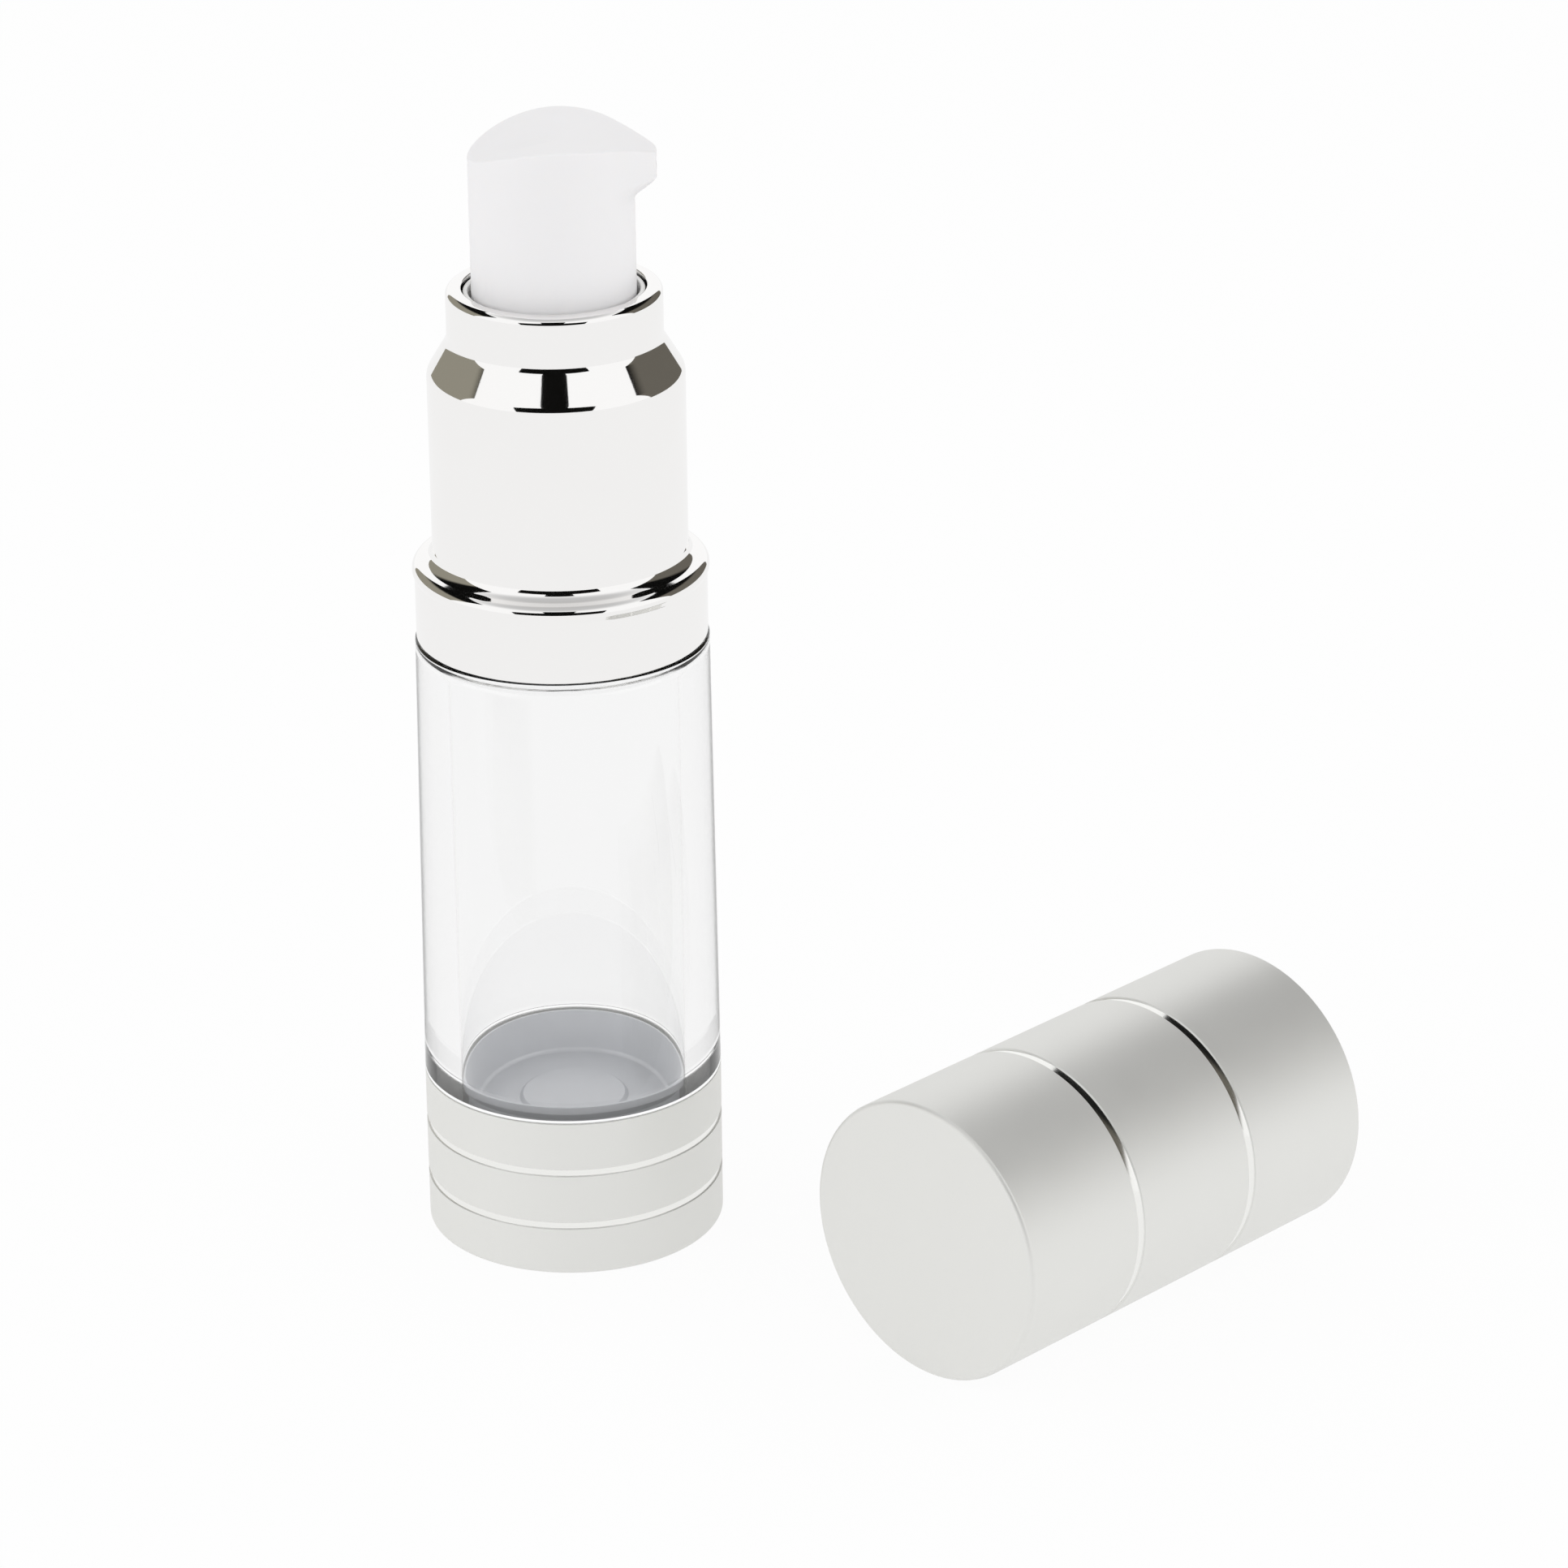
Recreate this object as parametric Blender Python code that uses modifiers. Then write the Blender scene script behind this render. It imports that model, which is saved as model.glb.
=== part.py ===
"""Travel-size airless pump bottle with its cap off, as separate pieces, in metres, +Z up.

The origin is the centre of the bottle's foot. The bottle stands on it, and the cap lies on its side
beside the bottle, along +X, with its open mouth at the +X end. The beak points to +X -Y.
"""

import math

import bmesh
import bpy

# Clearances
GAP = 0.0003
LIP_GAP = 0.00015
BALL_GAP = 0.0001
CAP_GRIP_GAP = 0.00015

# Clear body, with its threaded neck
BODY_RADIUS = 0.0130
BODY_TAPER = 0.00043
BODY_WALL = 0.0031
WINDOW_HEIGHT = 0.0405
SHOULDER_THICKNESS = 0.0016
SHOULDER_EDGE = 0.0003
NECK_HEIGHT = 0.0058
NECK_WALL = 0.0014

# Neck thread, right-hand
THREAD_DEPTH = 0.00075
THREAD_PITCH = 0.0020
THREAD_TURNS = 1.25
THREAD_ROOT_WIDTH = 0.0009
THREAD_CREST_WIDTH = 0.0005
THREAD_BELOW_RIM = 0.00085
THREAD_ABOVE_SKIRT = 0.00015

# Base cup
CUP_HEIGHT = 0.0145
CUP_WALL = 0.0006
CUP_FLOOR = 0.0008
CUP_EDGE = 0.0004
CUP_SEAM = 0.0001
CUP_GROOVE_HEIGHTS = (0.0098, 0.0047)
GROOVE_WIDTH = 0.0007
GROOVE_DEPTH = 0.0002
GROOVE_FLOOR_SHARE = 0.8
VENT_RADIUS = 0.0008
VENT_OFFSET = 0.0060

# Base plug
PLUG_FLANGE = 0.0010
PLUG_SKIRT_HEIGHT = 0.0074
PLUG_SKIRT_WALL = 0.0010
PLUG_VENT_RADIUS = 0.0010

# Follower piston
FOLLOWER_HEIGHT = 0.0053
FOLLOWER_LIP = 0.0007
FOLLOWER_LIP_EDGE = 0.0002
FOLLOWER_WAIST = 0.0004
FOLLOWER_WALL = 0.0008
FOLLOWER_FLOOR_TOP = 0.0018
FOLLOWER_FLOOR = 0.0010
FOLLOWER_BOSS_RADIUS = 0.0045
FOLLOWER_BOSS_HEIGHT = 0.0003

# Collar shell
SHELL_WALL = 0.0005
BAND_SETBACK = 0.00012
BEAD_PROUD = 0.00019
BEAD_FOOT_BELOW_RIM = 0.0002
BEAD_ROUND = 0.0008
BEAD_LEAN = math.radians(75)
FILLET_ROUND = 0.0011
FILLET_ABOVE_RIM = 0.0023
COLLAR_NECK_HEIGHT = 0.0156
CONE_HEIGHT = 0.0029
RING_HEIGHT = 0.00445
RING_EDGE = 0.00065
RING_LIP = 0.00133
HEAD_WINDOW = 0.00086

# Threaded insert in the collar
SKIRT_INSET = 0.0008
SKIRT_WALL = 0.0011
SKIRT_TOP_BELOW_RIM = 0.0002
TAPER_TOP_ABOVE_RIM = 0.0016
INSERT_WALL = 0.0007
WEB_THICKNESS = 0.0010
INSERT_TOP_BELOW_CONE = 0.0005
GUIDE_BELOW_RING_TOP = 0.0003

# Gasket
GASKET_THICKNESS = 0.0010

# Pump housing
RIM_LEDGE = 0.00043
HOUSING_FLANGE = 0.0010
BARREL_BORE = 0.0036
BARREL_WALL = 0.0009
PLUG_SEAL_DEPTH = 0.0051
PLUG_SEAL_WALL = 0.0008
HOUSING_DROP = 0.0068
INLET_WALL = 0.0009
BARREL_SHOULDER = 0.0005

# Ball valves, alike at the inlet and the outlet
BALL_RADIUS = 0.0012
BALL_ROOM = 0.0004
BALL_LIFT = 0.0007
VALVE_HOLE = 0.0007
SEAT_HEIGHT = 0.0010
SEAT_FLOOR = 0.0005
CAGE_THICKNESS = 0.0007
CAGE_HOLE = 0.0007
CAGE_SLOT_WIDTH = 0.0007
CAGE_SLOT_REACH = 0.0024
CAGE_SLOTS = 4

# Plunger: rod, piston and stem
PRESS_TRAVEL = 0.0055
ROD_BORE = 0.0006
ROD_WALL = 0.0006
ROD_FOOT_RADIUS = 0.0024
ROD_FOOT = 0.0007
ROD_SOCKET_DEPTH = 0.0074
PISTON_LENGTH = 0.0032
PISTON_SLEEVE_WALL = 0.0010
PISTON_LIP = 0.0004
PISTON_LIP_FLARE = 0.0006
STEM_WALL = 0.0006
STEM_FLANGE_RADIUS = 0.0035
STEM_FLANGE = 0.0008
VALVE_CUP_WALL = 0.0008

# Closure and spring
CLOSURE_SLEEVE = 0.0020
CLOSURE_PLATE = 0.0010
CLOSURE_WALL = 0.0007
CLOSURE_CATCH = 0.0013
CLOSURE_CATCH_THICKNESS = 0.0010
SPRING_LENGTH = 0.0112
SPRING_WIRE = 0.0006
SPRING_TURNS = 7

# Press head
HEAD_RADIUS = 0.00691
HEAD_RISE = 0.0114
HEAD_WALL = 0.0009
VAULT_RISE = 0.0020
BEAK_REACH = 0.00875
BEAK_TIP_RISE = 0.0003
BEAK_TIP_HEIGHT = 0.0023
BEAK_UNDERSIDE_RISE = 0.0016
BEAK_FLANK_ANGLE = math.radians(45)
DISH_CENTRE = -0.0020
DISH_RADIUS = 0.0035
DISH_DEPTH = 0.00045
CAVITY_BELOW_RIM = 0.0023
HEAD_SOCKET_WALL = 0.0008
CHANNEL_RADIUS = 0.0006
CHANNEL_OFFSET = 0.0009
NOZZLE_ANGLE = math.radians(-45)

# Cap, lying on its side
CAP_LENGTH = 0.0416
CAP_EDGE = 0.0004
CAP_GROOVE_DEPTHS = (0.0134, 0.0275)
CAP_SHELL_WALL = 0.0005
LINER_WALL = 0.00058
LINER_END = 0.0010
LINER_SHORT = 0.0004
CAP_END_X = -0.0008
CAP_AXIS_Y = -0.04335

# Facets of round pieces, and how far a cutter runs past what it cuts
LARGE_STEPS = 40
SMALL_STEPS = 20
ROUND_STEPS = 3
THREAD_STEPS_PER_TURN = 24
SPRING_POINTS_PER_TURN = 10
VAULT_STEPS = 12
CUT_PAST = 0.0010
THREAD_SINK = 0.0003

# Radii, from the body's top inwards
BODY_TOP_RADIUS = BODY_RADIUS - BODY_TAPER
BORE_RADIUS = BODY_RADIUS - BODY_WALL
BAND_RADIUS = BODY_TOP_RADIUS - BAND_SETBACK
SKIRT_RADIUS = BAND_RADIUS - SHELL_WALL - GAP
THREAD_ROOT = SKIRT_RADIUS - SKIRT_WALL
NECK_RADIUS = THREAD_ROOT - THREAD_DEPTH - GAP
NECK_BORE = NECK_RADIUS - NECK_WALL
FLANGE_RADIUS = NECK_RADIUS - RIM_LEDGE
POCKET_RADIUS = FLANGE_RADIUS + GAP
INSERT_RADIUS = POCKET_RADIUS + INSERT_WALL
COLLAR_NECK_RADIUS = INSERT_RADIUS + GAP + SHELL_WALL
RING_HOLE = HEAD_RADIUS + HEAD_WINDOW
RING_RADIUS = RING_HOLE + RING_LIP
BODY_STEP_RADIUS = BODY_RADIUS - CUP_WALL - GAP
PLUG_SKIRT_RADIUS = BORE_RADIUS - GAP
FOLLOWER_RADIUS = BORE_RADIUS - LIP_GAP
BARREL_RADIUS = BARREL_BORE + BARREL_WALL
CLOSURE_RADIUS = BARREL_RADIUS + GAP + CLOSURE_WALL
WEB_HOLE = CLOSURE_RADIUS + GAP
VALVE_WELL = BALL_RADIUS + BALL_ROOM
ROD_RADIUS = ROD_BORE + ROD_WALL
STEM_BORE = ROD_RADIUS + GAP
STEM_RADIUS = STEM_BORE + STEM_WALL
CLOSURE_HOLE = STEM_RADIUS + GAP
VALVE_CUP_RADIUS = VALVE_WELL + VALVE_CUP_WALL
HEAD_SOCKET = VALVE_CUP_RADIUS + GAP
LINER_BORE = COLLAR_NECK_RADIUS + CAP_GRIP_GAP
LINER_RADIUS = LINER_BORE + LINER_WALL
CAP_RADIUS = LINER_RADIUS + GAP + CAP_SHELL_WALL

# Heights of the body, up to its rim
PLUG_FLANGE_Z = CUP_FLOOR + GAP
BODY_FOOT_Z = PLUG_FLANGE_Z + PLUG_FLANGE + GAP
PLUG_TOP_Z = PLUG_FLANGE_Z + PLUG_FLANGE + PLUG_SKIRT_HEIGHT
FOLLOWER_Z = PLUG_TOP_Z + GAP
BODY_STEP_Z = CUP_HEIGHT + CUP_SEAM
SHOULDER_Z = BODY_STEP_Z + WINDOW_HEIGHT
BORE_TOP_Z = SHOULDER_Z - SHOULDER_THICKNESS
RIM_Z = SHOULDER_Z + NECK_HEIGHT

# Heights of what the rim carries
COLLAR_Z = SHOULDER_Z + GAP
FILLET_TOP_Z = RIM_Z + FILLET_ABOVE_RIM
CONE_Z = FILLET_TOP_Z + COLLAR_NECK_HEIGHT
RING_Z = CONE_Z + CONE_HEIGHT
RING_TOP_Z = RING_Z + RING_HEIGHT
SKIRT_Z = COLLAR_Z + SKIRT_INSET
GASKET_Z = RIM_Z + GAP
FLANGE_Z = GASKET_Z + GASKET_THICKNESS + GAP
FLANGE_TOP_Z = FLANGE_Z + HOUSING_FLANGE
WEB_Z = FLANGE_TOP_Z + GAP
CATCH_Z = WEB_Z + WEB_THICKNESS + GAP

# Heights inside the pump
HOUSING_Z = FLANGE_Z - HOUSING_DROP
INLET_SEAT_Z = HOUSING_Z + SEAT_FLOOR
BALL_TILT = math.atan2(VALVE_WELL - VALVE_HOLE, SEAT_HEIGHT)
BALL_RISE = (BALL_RADIUS + BALL_GAP - VALVE_HOLE * math.cos(BALL_TILT)) / math.sin(BALL_TILT)
WELL_DEPTH = BALL_RISE + BALL_RADIUS + BALL_LIFT
CHAMBER_Z = INLET_SEAT_Z + WELL_DEPTH
CAGE_Z = CHAMBER_Z + GAP
ROD_FOOT_Z = CAGE_Z + CAGE_THICKNESS + PRESS_TRAVEL + GAP
PISTON_Z = ROD_FOOT_Z + ROD_FOOT + GAP
STEM_Z = PISTON_Z + PISTON_LENGTH + GAP
BARREL_TOP_Z = STEM_Z + CLOSURE_SLEEVE - GAP
CLOSURE_PLATE_Z = BARREL_TOP_Z + GAP
CLOSURE_TOP_Z = CLOSURE_PLATE_Z + CLOSURE_PLATE
SPRING_Z = CLOSURE_TOP_Z + GAP
STEM_FLANGE_Z = SPRING_Z + SPRING_LENGTH + GAP
OUTLET_SEAT_Z = STEM_FLANGE_Z + STEM_FLANGE
VALVE_CUP_TOP_Z = OUTLET_SEAT_Z + WELL_DEPTH
SOCKET_TOP_Z = VALVE_CUP_TOP_Z + GAP

# Heights of the press head
HEAD_FOOT_Z = CLOSURE_TOP_Z + PRESS_TRAVEL + GAP
HEAD_RIM_Z = RING_TOP_Z + HEAD_RISE
VAULT_TOP_Z = HEAD_RIM_Z + VAULT_RISE
BEAK_TIP_Z = HEAD_RIM_Z + BEAK_TIP_RISE
CAVITY_TOP_Z = HEAD_RIM_Z - CAVITY_BELOW_RIM
CHANNEL_Z = BEAK_TIP_Z - BEAK_TIP_HEIGHT / 2

# Looks: linear colour, metallic, roughness, transmission
FINISHES = {
    "satin_aluminium": ((0.76, 0.76, 0.75), 1.0, 0.38, 0.0),
    "bright_aluminium": ((0.92, 0.92, 0.92), 1.0, 0.08, 0.0),
    "clear_acrylic": ((0.95, 0.96, 0.97), 0.0, 0.04, 0.9),
    "white_polypropylene": ((0.83, 0.83, 0.82), 0.0, 0.35, 0.0),
    "natural_polyethylene": ((0.62, 0.64, 0.68), 0.0, 0.40, 0.0),
    "spring_steel": ((0.55, 0.55, 0.56), 1.0, 0.25, 0.0),
    "soft_gasket": ((0.55, 0.56, 0.55), 0.0, 0.60, 0.0),
}


def empty_scene():
    """Removes what the startup scene holds."""
    for obj in list(bpy.data.objects):
        bpy.data.objects.remove(obj, do_unlink=True)


def new_collection(name):
    collection = bpy.data.collections.new(name)
    bpy.context.scene.collection.children.link(collection)
    return collection


def new_material(name, finish):
    """A Principled material of its own for one piece."""
    colour, metallic, roughness, transmission = FINISHES[finish]
    material = bpy.data.materials.new(name)
    material.use_nodes = True
    shader = material.node_tree.nodes["Principled BSDF"]
    shader.inputs["Base Color"].default_value = (*colour, 1)
    shader.inputs["Metallic"].default_value = metallic
    shader.inputs["Roughness"].default_value = roughness
    shader.inputs["Transmission Weight"].default_value = transmission
    return material


def new_piece(name, mesh, finish):
    """Links a named piece with its own material, shaded smooth but for its corners."""
    piece = bpy.data.objects.new(name, mesh)
    mesh.shade_smooth()
    mesh.set_sharp_from_angle(angle=math.radians(30))
    mesh.materials.append(new_material(name, finish))
    PARTS.objects.link(piece)
    return piece


def new_cutter(name, mesh):
    """Links a helper that cuts or joins, and never shows."""
    cutter = bpy.data.objects.new(name, mesh)
    cutter.hide_render = True
    cutter.display_type = "WIRE"
    CUTTERS.objects.link(cutter)
    return cutter


def outline_mesh(name, points, closed):
    """The (radius, height) points of a turned shape as edges in the XZ plane."""
    mesh = bpy.data.meshes.new(name)
    edges = [(i, i + 1) for i in range(len(points) - 1)]
    if closed:
        edges.append((len(points) - 1, 0))
    mesh.from_pydata([(radius, 0, height) for radius, height in points], edges, [])
    return mesh


def spin(obj, steps):
    """A Screw modifier that turns an outline round Z."""
    screw = obj.modifiers.new("Turn", "SCREW")
    screw.steps = steps
    screw.render_steps = steps
    screw.use_merge_vertices = True
    screw.merge_threshold = GAP / 100
    screw.use_normal_calculate = False


def turned(name, points, steps, finish, closed=True):
    """A piece turned from an outline that runs down its outer side."""
    piece = new_piece(name, outline_mesh(name, points, closed), finish)
    spin(piece, steps)
    return piece


def turned_cutter(name, points, steps, closed=True):
    cutter = new_cutter(name, outline_mesh(name, points, closed))
    spin(cutter, steps)
    return cutter


def arc(centre, radius, start, end, steps=ROUND_STEPS):
    """Points of an arc in an outline, by its start and end angle in degrees."""
    angles = [math.radians(start + (end - start) * i / steps) for i in range(steps + 1)]
    return [(centre[0] + radius * math.cos(a), centre[1] + radius * math.sin(a)) for a in angles]


def groove(radius, height):
    """Four outline points of a cut groove, top to bottom."""
    flat = GROOVE_WIDTH * GROOVE_FLOOR_SHARE / 2
    return [
        (radius, height + GROOVE_WIDTH / 2),
        (radius - GROOVE_DEPTH, height + flat),
        (radius - GROOVE_DEPTH, height - flat),
        (radius, height - GROOVE_WIDTH / 2),
    ]


def boolean(obj, other, operation):
    modifier = obj.modifiers.new(other.name, "BOOLEAN")
    modifier.operation = operation
    modifier.object = other
    modifier.solver = "EXACT"


def rod_mesh(name, radius, low, high, steps):
    """A cylinder along Z between two heights."""
    mesh = bpy.data.meshes.new(name)
    shape = bmesh.new()
    made = bmesh.ops.create_cone(
        shape, cap_ends=True, segments=steps, radius1=radius, radius2=radius, depth=high - low
    )
    bmesh.ops.translate(shape, verts=made["verts"], vec=(0, 0, (high + low) / 2))
    shape.to_mesh(mesh)
    shape.free()
    return mesh


def ball_mesh(name, radius):
    mesh = bpy.data.meshes.new(name)
    shape = bmesh.new()
    bmesh.ops.create_uvsphere(shape, u_segments=SMALL_STEPS // 2, v_segments=SMALL_STEPS // 2, radius=radius)
    shape.to_mesh(mesh)
    shape.free()
    return mesh


def slab_mesh(name, points, half_thickness):
    """A flat outline in its own XY plane, extruded both ways along Z, as a closed mesh."""
    curve = bpy.data.curves.new(name, "CURVE")
    curve.dimensions = "2D"
    curve.fill_mode = "BOTH"
    curve.extrude = half_thickness
    spline = curve.splines.new("POLY")
    spline.points.add(len(points) - 1)
    for point, (x, y) in zip(spline.points, points):
        point.co = (x, y, 0, 1)
    spline.use_cyclic_u = True
    return mesh_of_curve(name, curve)


def mesh_of_curve(name, curve):
    """The mesh that a curve makes, with its caps welded to its sides."""
    guide = bpy.data.objects.new(name, curve)
    CUTTERS.objects.link(guide)
    graph = bpy.context.evaluated_depsgraph_get()
    mesh = bpy.data.meshes.new_from_object(guide.evaluated_get(graph))
    bpy.data.objects.remove(guide, do_unlink=True)
    shape = bmesh.new()
    shape.from_mesh(mesh)
    bmesh.ops.remove_doubles(shape, verts=shape.verts, dist=GAP / 100)
    bmesh.ops.recalc_face_normals(shape, faces=shape.faces)
    shape.to_mesh(mesh)
    shape.free()
    return mesh


def thread_mesh(name, wall_radius, crest_radius, start_z, start_angle, turns):
    """A helical ridge sunk into its wall, from a trapezoid swept round and up."""
    sink = THREAD_SINK if crest_radius > wall_radius else -THREAD_SINK
    section = [
        (wall_radius - sink, -THREAD_ROOT_WIDTH / 2),
        (crest_radius, -THREAD_CREST_WIDTH / 2),
        (crest_radius, THREAD_CREST_WIDTH / 2),
        (wall_radius - sink, THREAD_ROOT_WIDTH / 2),
    ]
    steps = round(turns * THREAD_STEPS_PER_TURN)
    shape = bmesh.new()
    across, up = math.cos(start_angle), math.sin(start_angle)
    corners = [shape.verts.new((r * across, r * up, start_z + z)) for r, z in section]
    face = shape.faces.new(corners)
    bmesh.ops.spin(
        shape,
        geom=[face, *face.edges, *face.verts],
        cent=(0, 0, 0),
        axis=(0, 0, 1),
        dvec=(0, 0, turns * THREAD_PITCH / steps),
        angle=turns * math.tau,
        steps=steps,
    )
    bmesh.ops.recalc_face_normals(shape, faces=shape.faces)
    mesh = bpy.data.meshes.new(name)
    shape.to_mesh(mesh)
    shape.free()
    return mesh


def make_base_cup():
    """Matte cup with two cut grooves and an offset vent hole in its floor."""
    outline = [(0, CUP_FLOOR), (BODY_RADIUS - CUP_WALL, CUP_FLOOR)]
    outline += [(BODY_RADIUS - CUP_WALL, CUP_HEIGHT), (BODY_RADIUS, CUP_HEIGHT)]
    for height in CUP_GROOVE_HEIGHTS:
        outline += groove(BODY_RADIUS, height)
    outline += arc((BODY_RADIUS - CUP_EDGE, CUP_EDGE), CUP_EDGE, 0, -90, 2)
    outline += [(0, 0)]
    cup = turned("base_cup", outline, LARGE_STEPS, "satin_aluminium", closed=False)
    vent = new_cutter(
        "cup_vent", rod_mesh("cup_vent", VENT_RADIUS, -CUT_PAST, CUP_FLOOR + CUT_PAST, SMALL_STEPS // 2)
    )
    vent.location.x = VENT_OFFSET
    boolean(cup, vent, "DIFFERENCE")


def make_base_plug():
    """Plug that closes the bore's lower end and stops the follower, with a vent in its middle."""
    flange_top = PLUG_FLANGE_Z + PLUG_FLANGE
    inner = PLUG_SKIRT_RADIUS - PLUG_SKIRT_WALL
    outline = [
        (PLUG_SKIRT_RADIUS, PLUG_TOP_Z),
        (PLUG_SKIRT_RADIUS, flange_top),
        (BODY_STEP_RADIUS, flange_top),
        (BODY_STEP_RADIUS, PLUG_FLANGE_Z),
        (PLUG_VENT_RADIUS, PLUG_FLANGE_Z),
        (PLUG_VENT_RADIUS, flange_top),
        (inner, flange_top),
        (inner, PLUG_TOP_Z),
    ]
    turned("base_plug", outline, LARGE_STEPS, "white_polypropylene")


def make_bottle_body():
    """Clear thick-walled body, stepped to enter the cup, with a male thread on its neck."""
    outline = [
        (NECK_RADIUS, RIM_Z),
        (NECK_RADIUS, SHOULDER_Z),
        (BODY_TOP_RADIUS - SHOULDER_EDGE, SHOULDER_Z),
        (BODY_TOP_RADIUS, SHOULDER_Z - SHOULDER_EDGE),
        (BODY_RADIUS, BODY_STEP_Z),
        (BODY_STEP_RADIUS, BODY_STEP_Z),
        (BODY_STEP_RADIUS, BODY_FOOT_Z),
        (BORE_RADIUS, BODY_FOOT_Z),
        (BORE_RADIUS, BORE_TOP_Z),
        (NECK_BORE, BORE_TOP_Z + BORE_RADIUS - NECK_BORE),
        (NECK_BORE, RIM_Z),
    ]
    body = turned("bottle_body", outline, LARGE_STEPS, "clear_acrylic")
    start = male_thread_start()
    ridge = thread_mesh("neck_thread", NECK_RADIUS, NECK_RADIUS + THREAD_DEPTH, start, 0, THREAD_TURNS)
    boolean(body, new_cutter("neck_thread", ridge), "UNION")


def male_thread_start():
    return RIM_Z - THREAD_BELOW_RIM - THREAD_TURNS * THREAD_PITCH


def make_follower():
    """Follower piston: a dish with a sealing lip at its top and foot."""
    foot, top = FOLLOWER_Z, FOLLOWER_Z + FOLLOWER_HEIGHT
    floor_top = foot + FOLLOWER_FLOOR_TOP
    waist = FOLLOWER_RADIUS - FOLLOWER_WAIST
    inner = waist - FOLLOWER_WALL
    outline = [
        (0, floor_top + FOLLOWER_BOSS_HEIGHT),
        (FOLLOWER_BOSS_RADIUS, floor_top + FOLLOWER_BOSS_HEIGHT),
        (FOLLOWER_BOSS_RADIUS + FOLLOWER_BOSS_HEIGHT, floor_top),
        (inner, floor_top),
        (FOLLOWER_RADIUS - FOLLOWER_LIP_EDGE, top),
        (FOLLOWER_RADIUS, top),
        (FOLLOWER_RADIUS, top - FOLLOWER_LIP),
        (waist, top - 2 * FOLLOWER_LIP),
        (waist, foot + 2 * FOLLOWER_LIP),
        (FOLLOWER_RADIUS, foot + FOLLOWER_LIP),
        (FOLLOWER_RADIUS, foot),
        (inner, foot),
        (inner, floor_top - FOLLOWER_FLOOR),
        (0, floor_top - FOLLOWER_FLOOR),
    ]
    turned("follower_piston", outline, LARGE_STEPS, "natural_polyethylene", closed=False)


def collar_face(inset):
    """The collar's outer face, from the rim of its hole down to the band's foot, moved in by an inset."""
    bead_radius = BAND_RADIUS + BEAD_PROUD
    rounds = FILLET_ROUND + BEAD_ROUND
    reach = bead_radius - COLLAR_NECK_RADIUS - rounds * (1 - math.cos(BEAD_LEAN))
    bead_z = FILLET_TOP_Z - rounds * math.sin(BEAD_LEAN) - reach / math.tan(BEAD_LEAN)
    swing = math.degrees(BEAD_LEAN)
    lean = math.atan2(COLLAR_NECK_RADIUS - RING_RADIUS, CONE_HEIGHT)
    mitre = inset * math.tan(lean / 2)
    points = [(RING_HOLE, RING_TOP_Z - inset)]
    points += arc((RING_RADIUS - RING_EDGE, RING_TOP_Z - RING_EDGE), RING_EDGE - inset, 90, 0)
    points += [(RING_RADIUS - inset, RING_Z - mitre), (COLLAR_NECK_RADIUS - inset, CONE_Z - mitre)]
    fillet = (COLLAR_NECK_RADIUS + FILLET_ROUND, FILLET_TOP_Z)
    points += arc(fillet, FILLET_ROUND + inset, 180, 180 + swing)
    points += arc((bead_radius - BEAD_ROUND, bead_z), BEAD_ROUND - inset, swing, 0)
    points += [(BAND_RADIUS - inset, RIM_Z - BEAD_FOOT_BELOW_RIM), (BAND_RADIUS - inset, COLLAR_Z)]
    return points


def make_collar_shell():
    """Bright shell: ring, cone, neck, bead and band in one thin wall."""
    outline = collar_face(0) + collar_face(SHELL_WALL)[::-1]
    turned("collar_shell", outline, LARGE_STEPS, "bright_aluminium")


def make_collar_insert():
    """White insert: female thread, web that traps the pump's flange, and sleeve that guides the head."""
    top = CONE_Z - INSERT_TOP_BELOW_CONE
    guide = RING_HOLE - LIP_GAP
    guide_bore = HEAD_RADIUS + GAP
    guide_top = RING_TOP_Z - GUIDE_BELOW_RING_TOP
    web_top = WEB_Z + WEB_THICKNESS
    outline = [
        (guide, guide_top),
        (guide, top),
        (INSERT_RADIUS, top),
        (INSERT_RADIUS, RIM_Z + TAPER_TOP_ABOVE_RIM),
        (SKIRT_RADIUS, RIM_Z - SKIRT_TOP_BELOW_RIM),
        (SKIRT_RADIUS, SKIRT_Z),
        (THREAD_ROOT, SKIRT_Z),
        (THREAD_ROOT, GASKET_Z),
        (POCKET_RADIUS, GASKET_Z),
        (POCKET_RADIUS, WEB_Z),
        (WEB_HOLE, WEB_Z),
        (WEB_HOLE, web_top),
        (POCKET_RADIUS, web_top),
        (POCKET_RADIUS, top - WEB_THICKNESS),
        (guide_bore, top - WEB_THICKNESS),
        (guide_bore, guide_top),
    ]
    insert = turned("collar_insert", outline, LARGE_STEPS, "white_polypropylene")
    start = SKIRT_Z + THREAD_ROOT_WIDTH / 2 + THREAD_ABOVE_SKIRT
    half_pitch_below = male_thread_start() - THREAD_PITCH / 2
    angle = math.tau * (start - half_pitch_below) / THREAD_PITCH
    ridge = thread_mesh("insert_thread", THREAD_ROOT, THREAD_ROOT - THREAD_DEPTH, start, angle, THREAD_TURNS)
    boolean(insert, new_cutter("insert_thread", ridge), "UNION")


def make_neck_gasket():
    """Flat ring between the neck's rim and the pump's flange."""
    inner = NECK_BORE + GAP
    outline = [
        (FLANGE_RADIUS, GASKET_Z + GASKET_THICKNESS),
        (FLANGE_RADIUS, GASKET_Z),
        (inner, GASKET_Z),
        (inner, GASKET_Z + GASKET_THICKNESS),
    ]
    turned("neck_gasket", outline, LARGE_STEPS, "soft_gasket")


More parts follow.
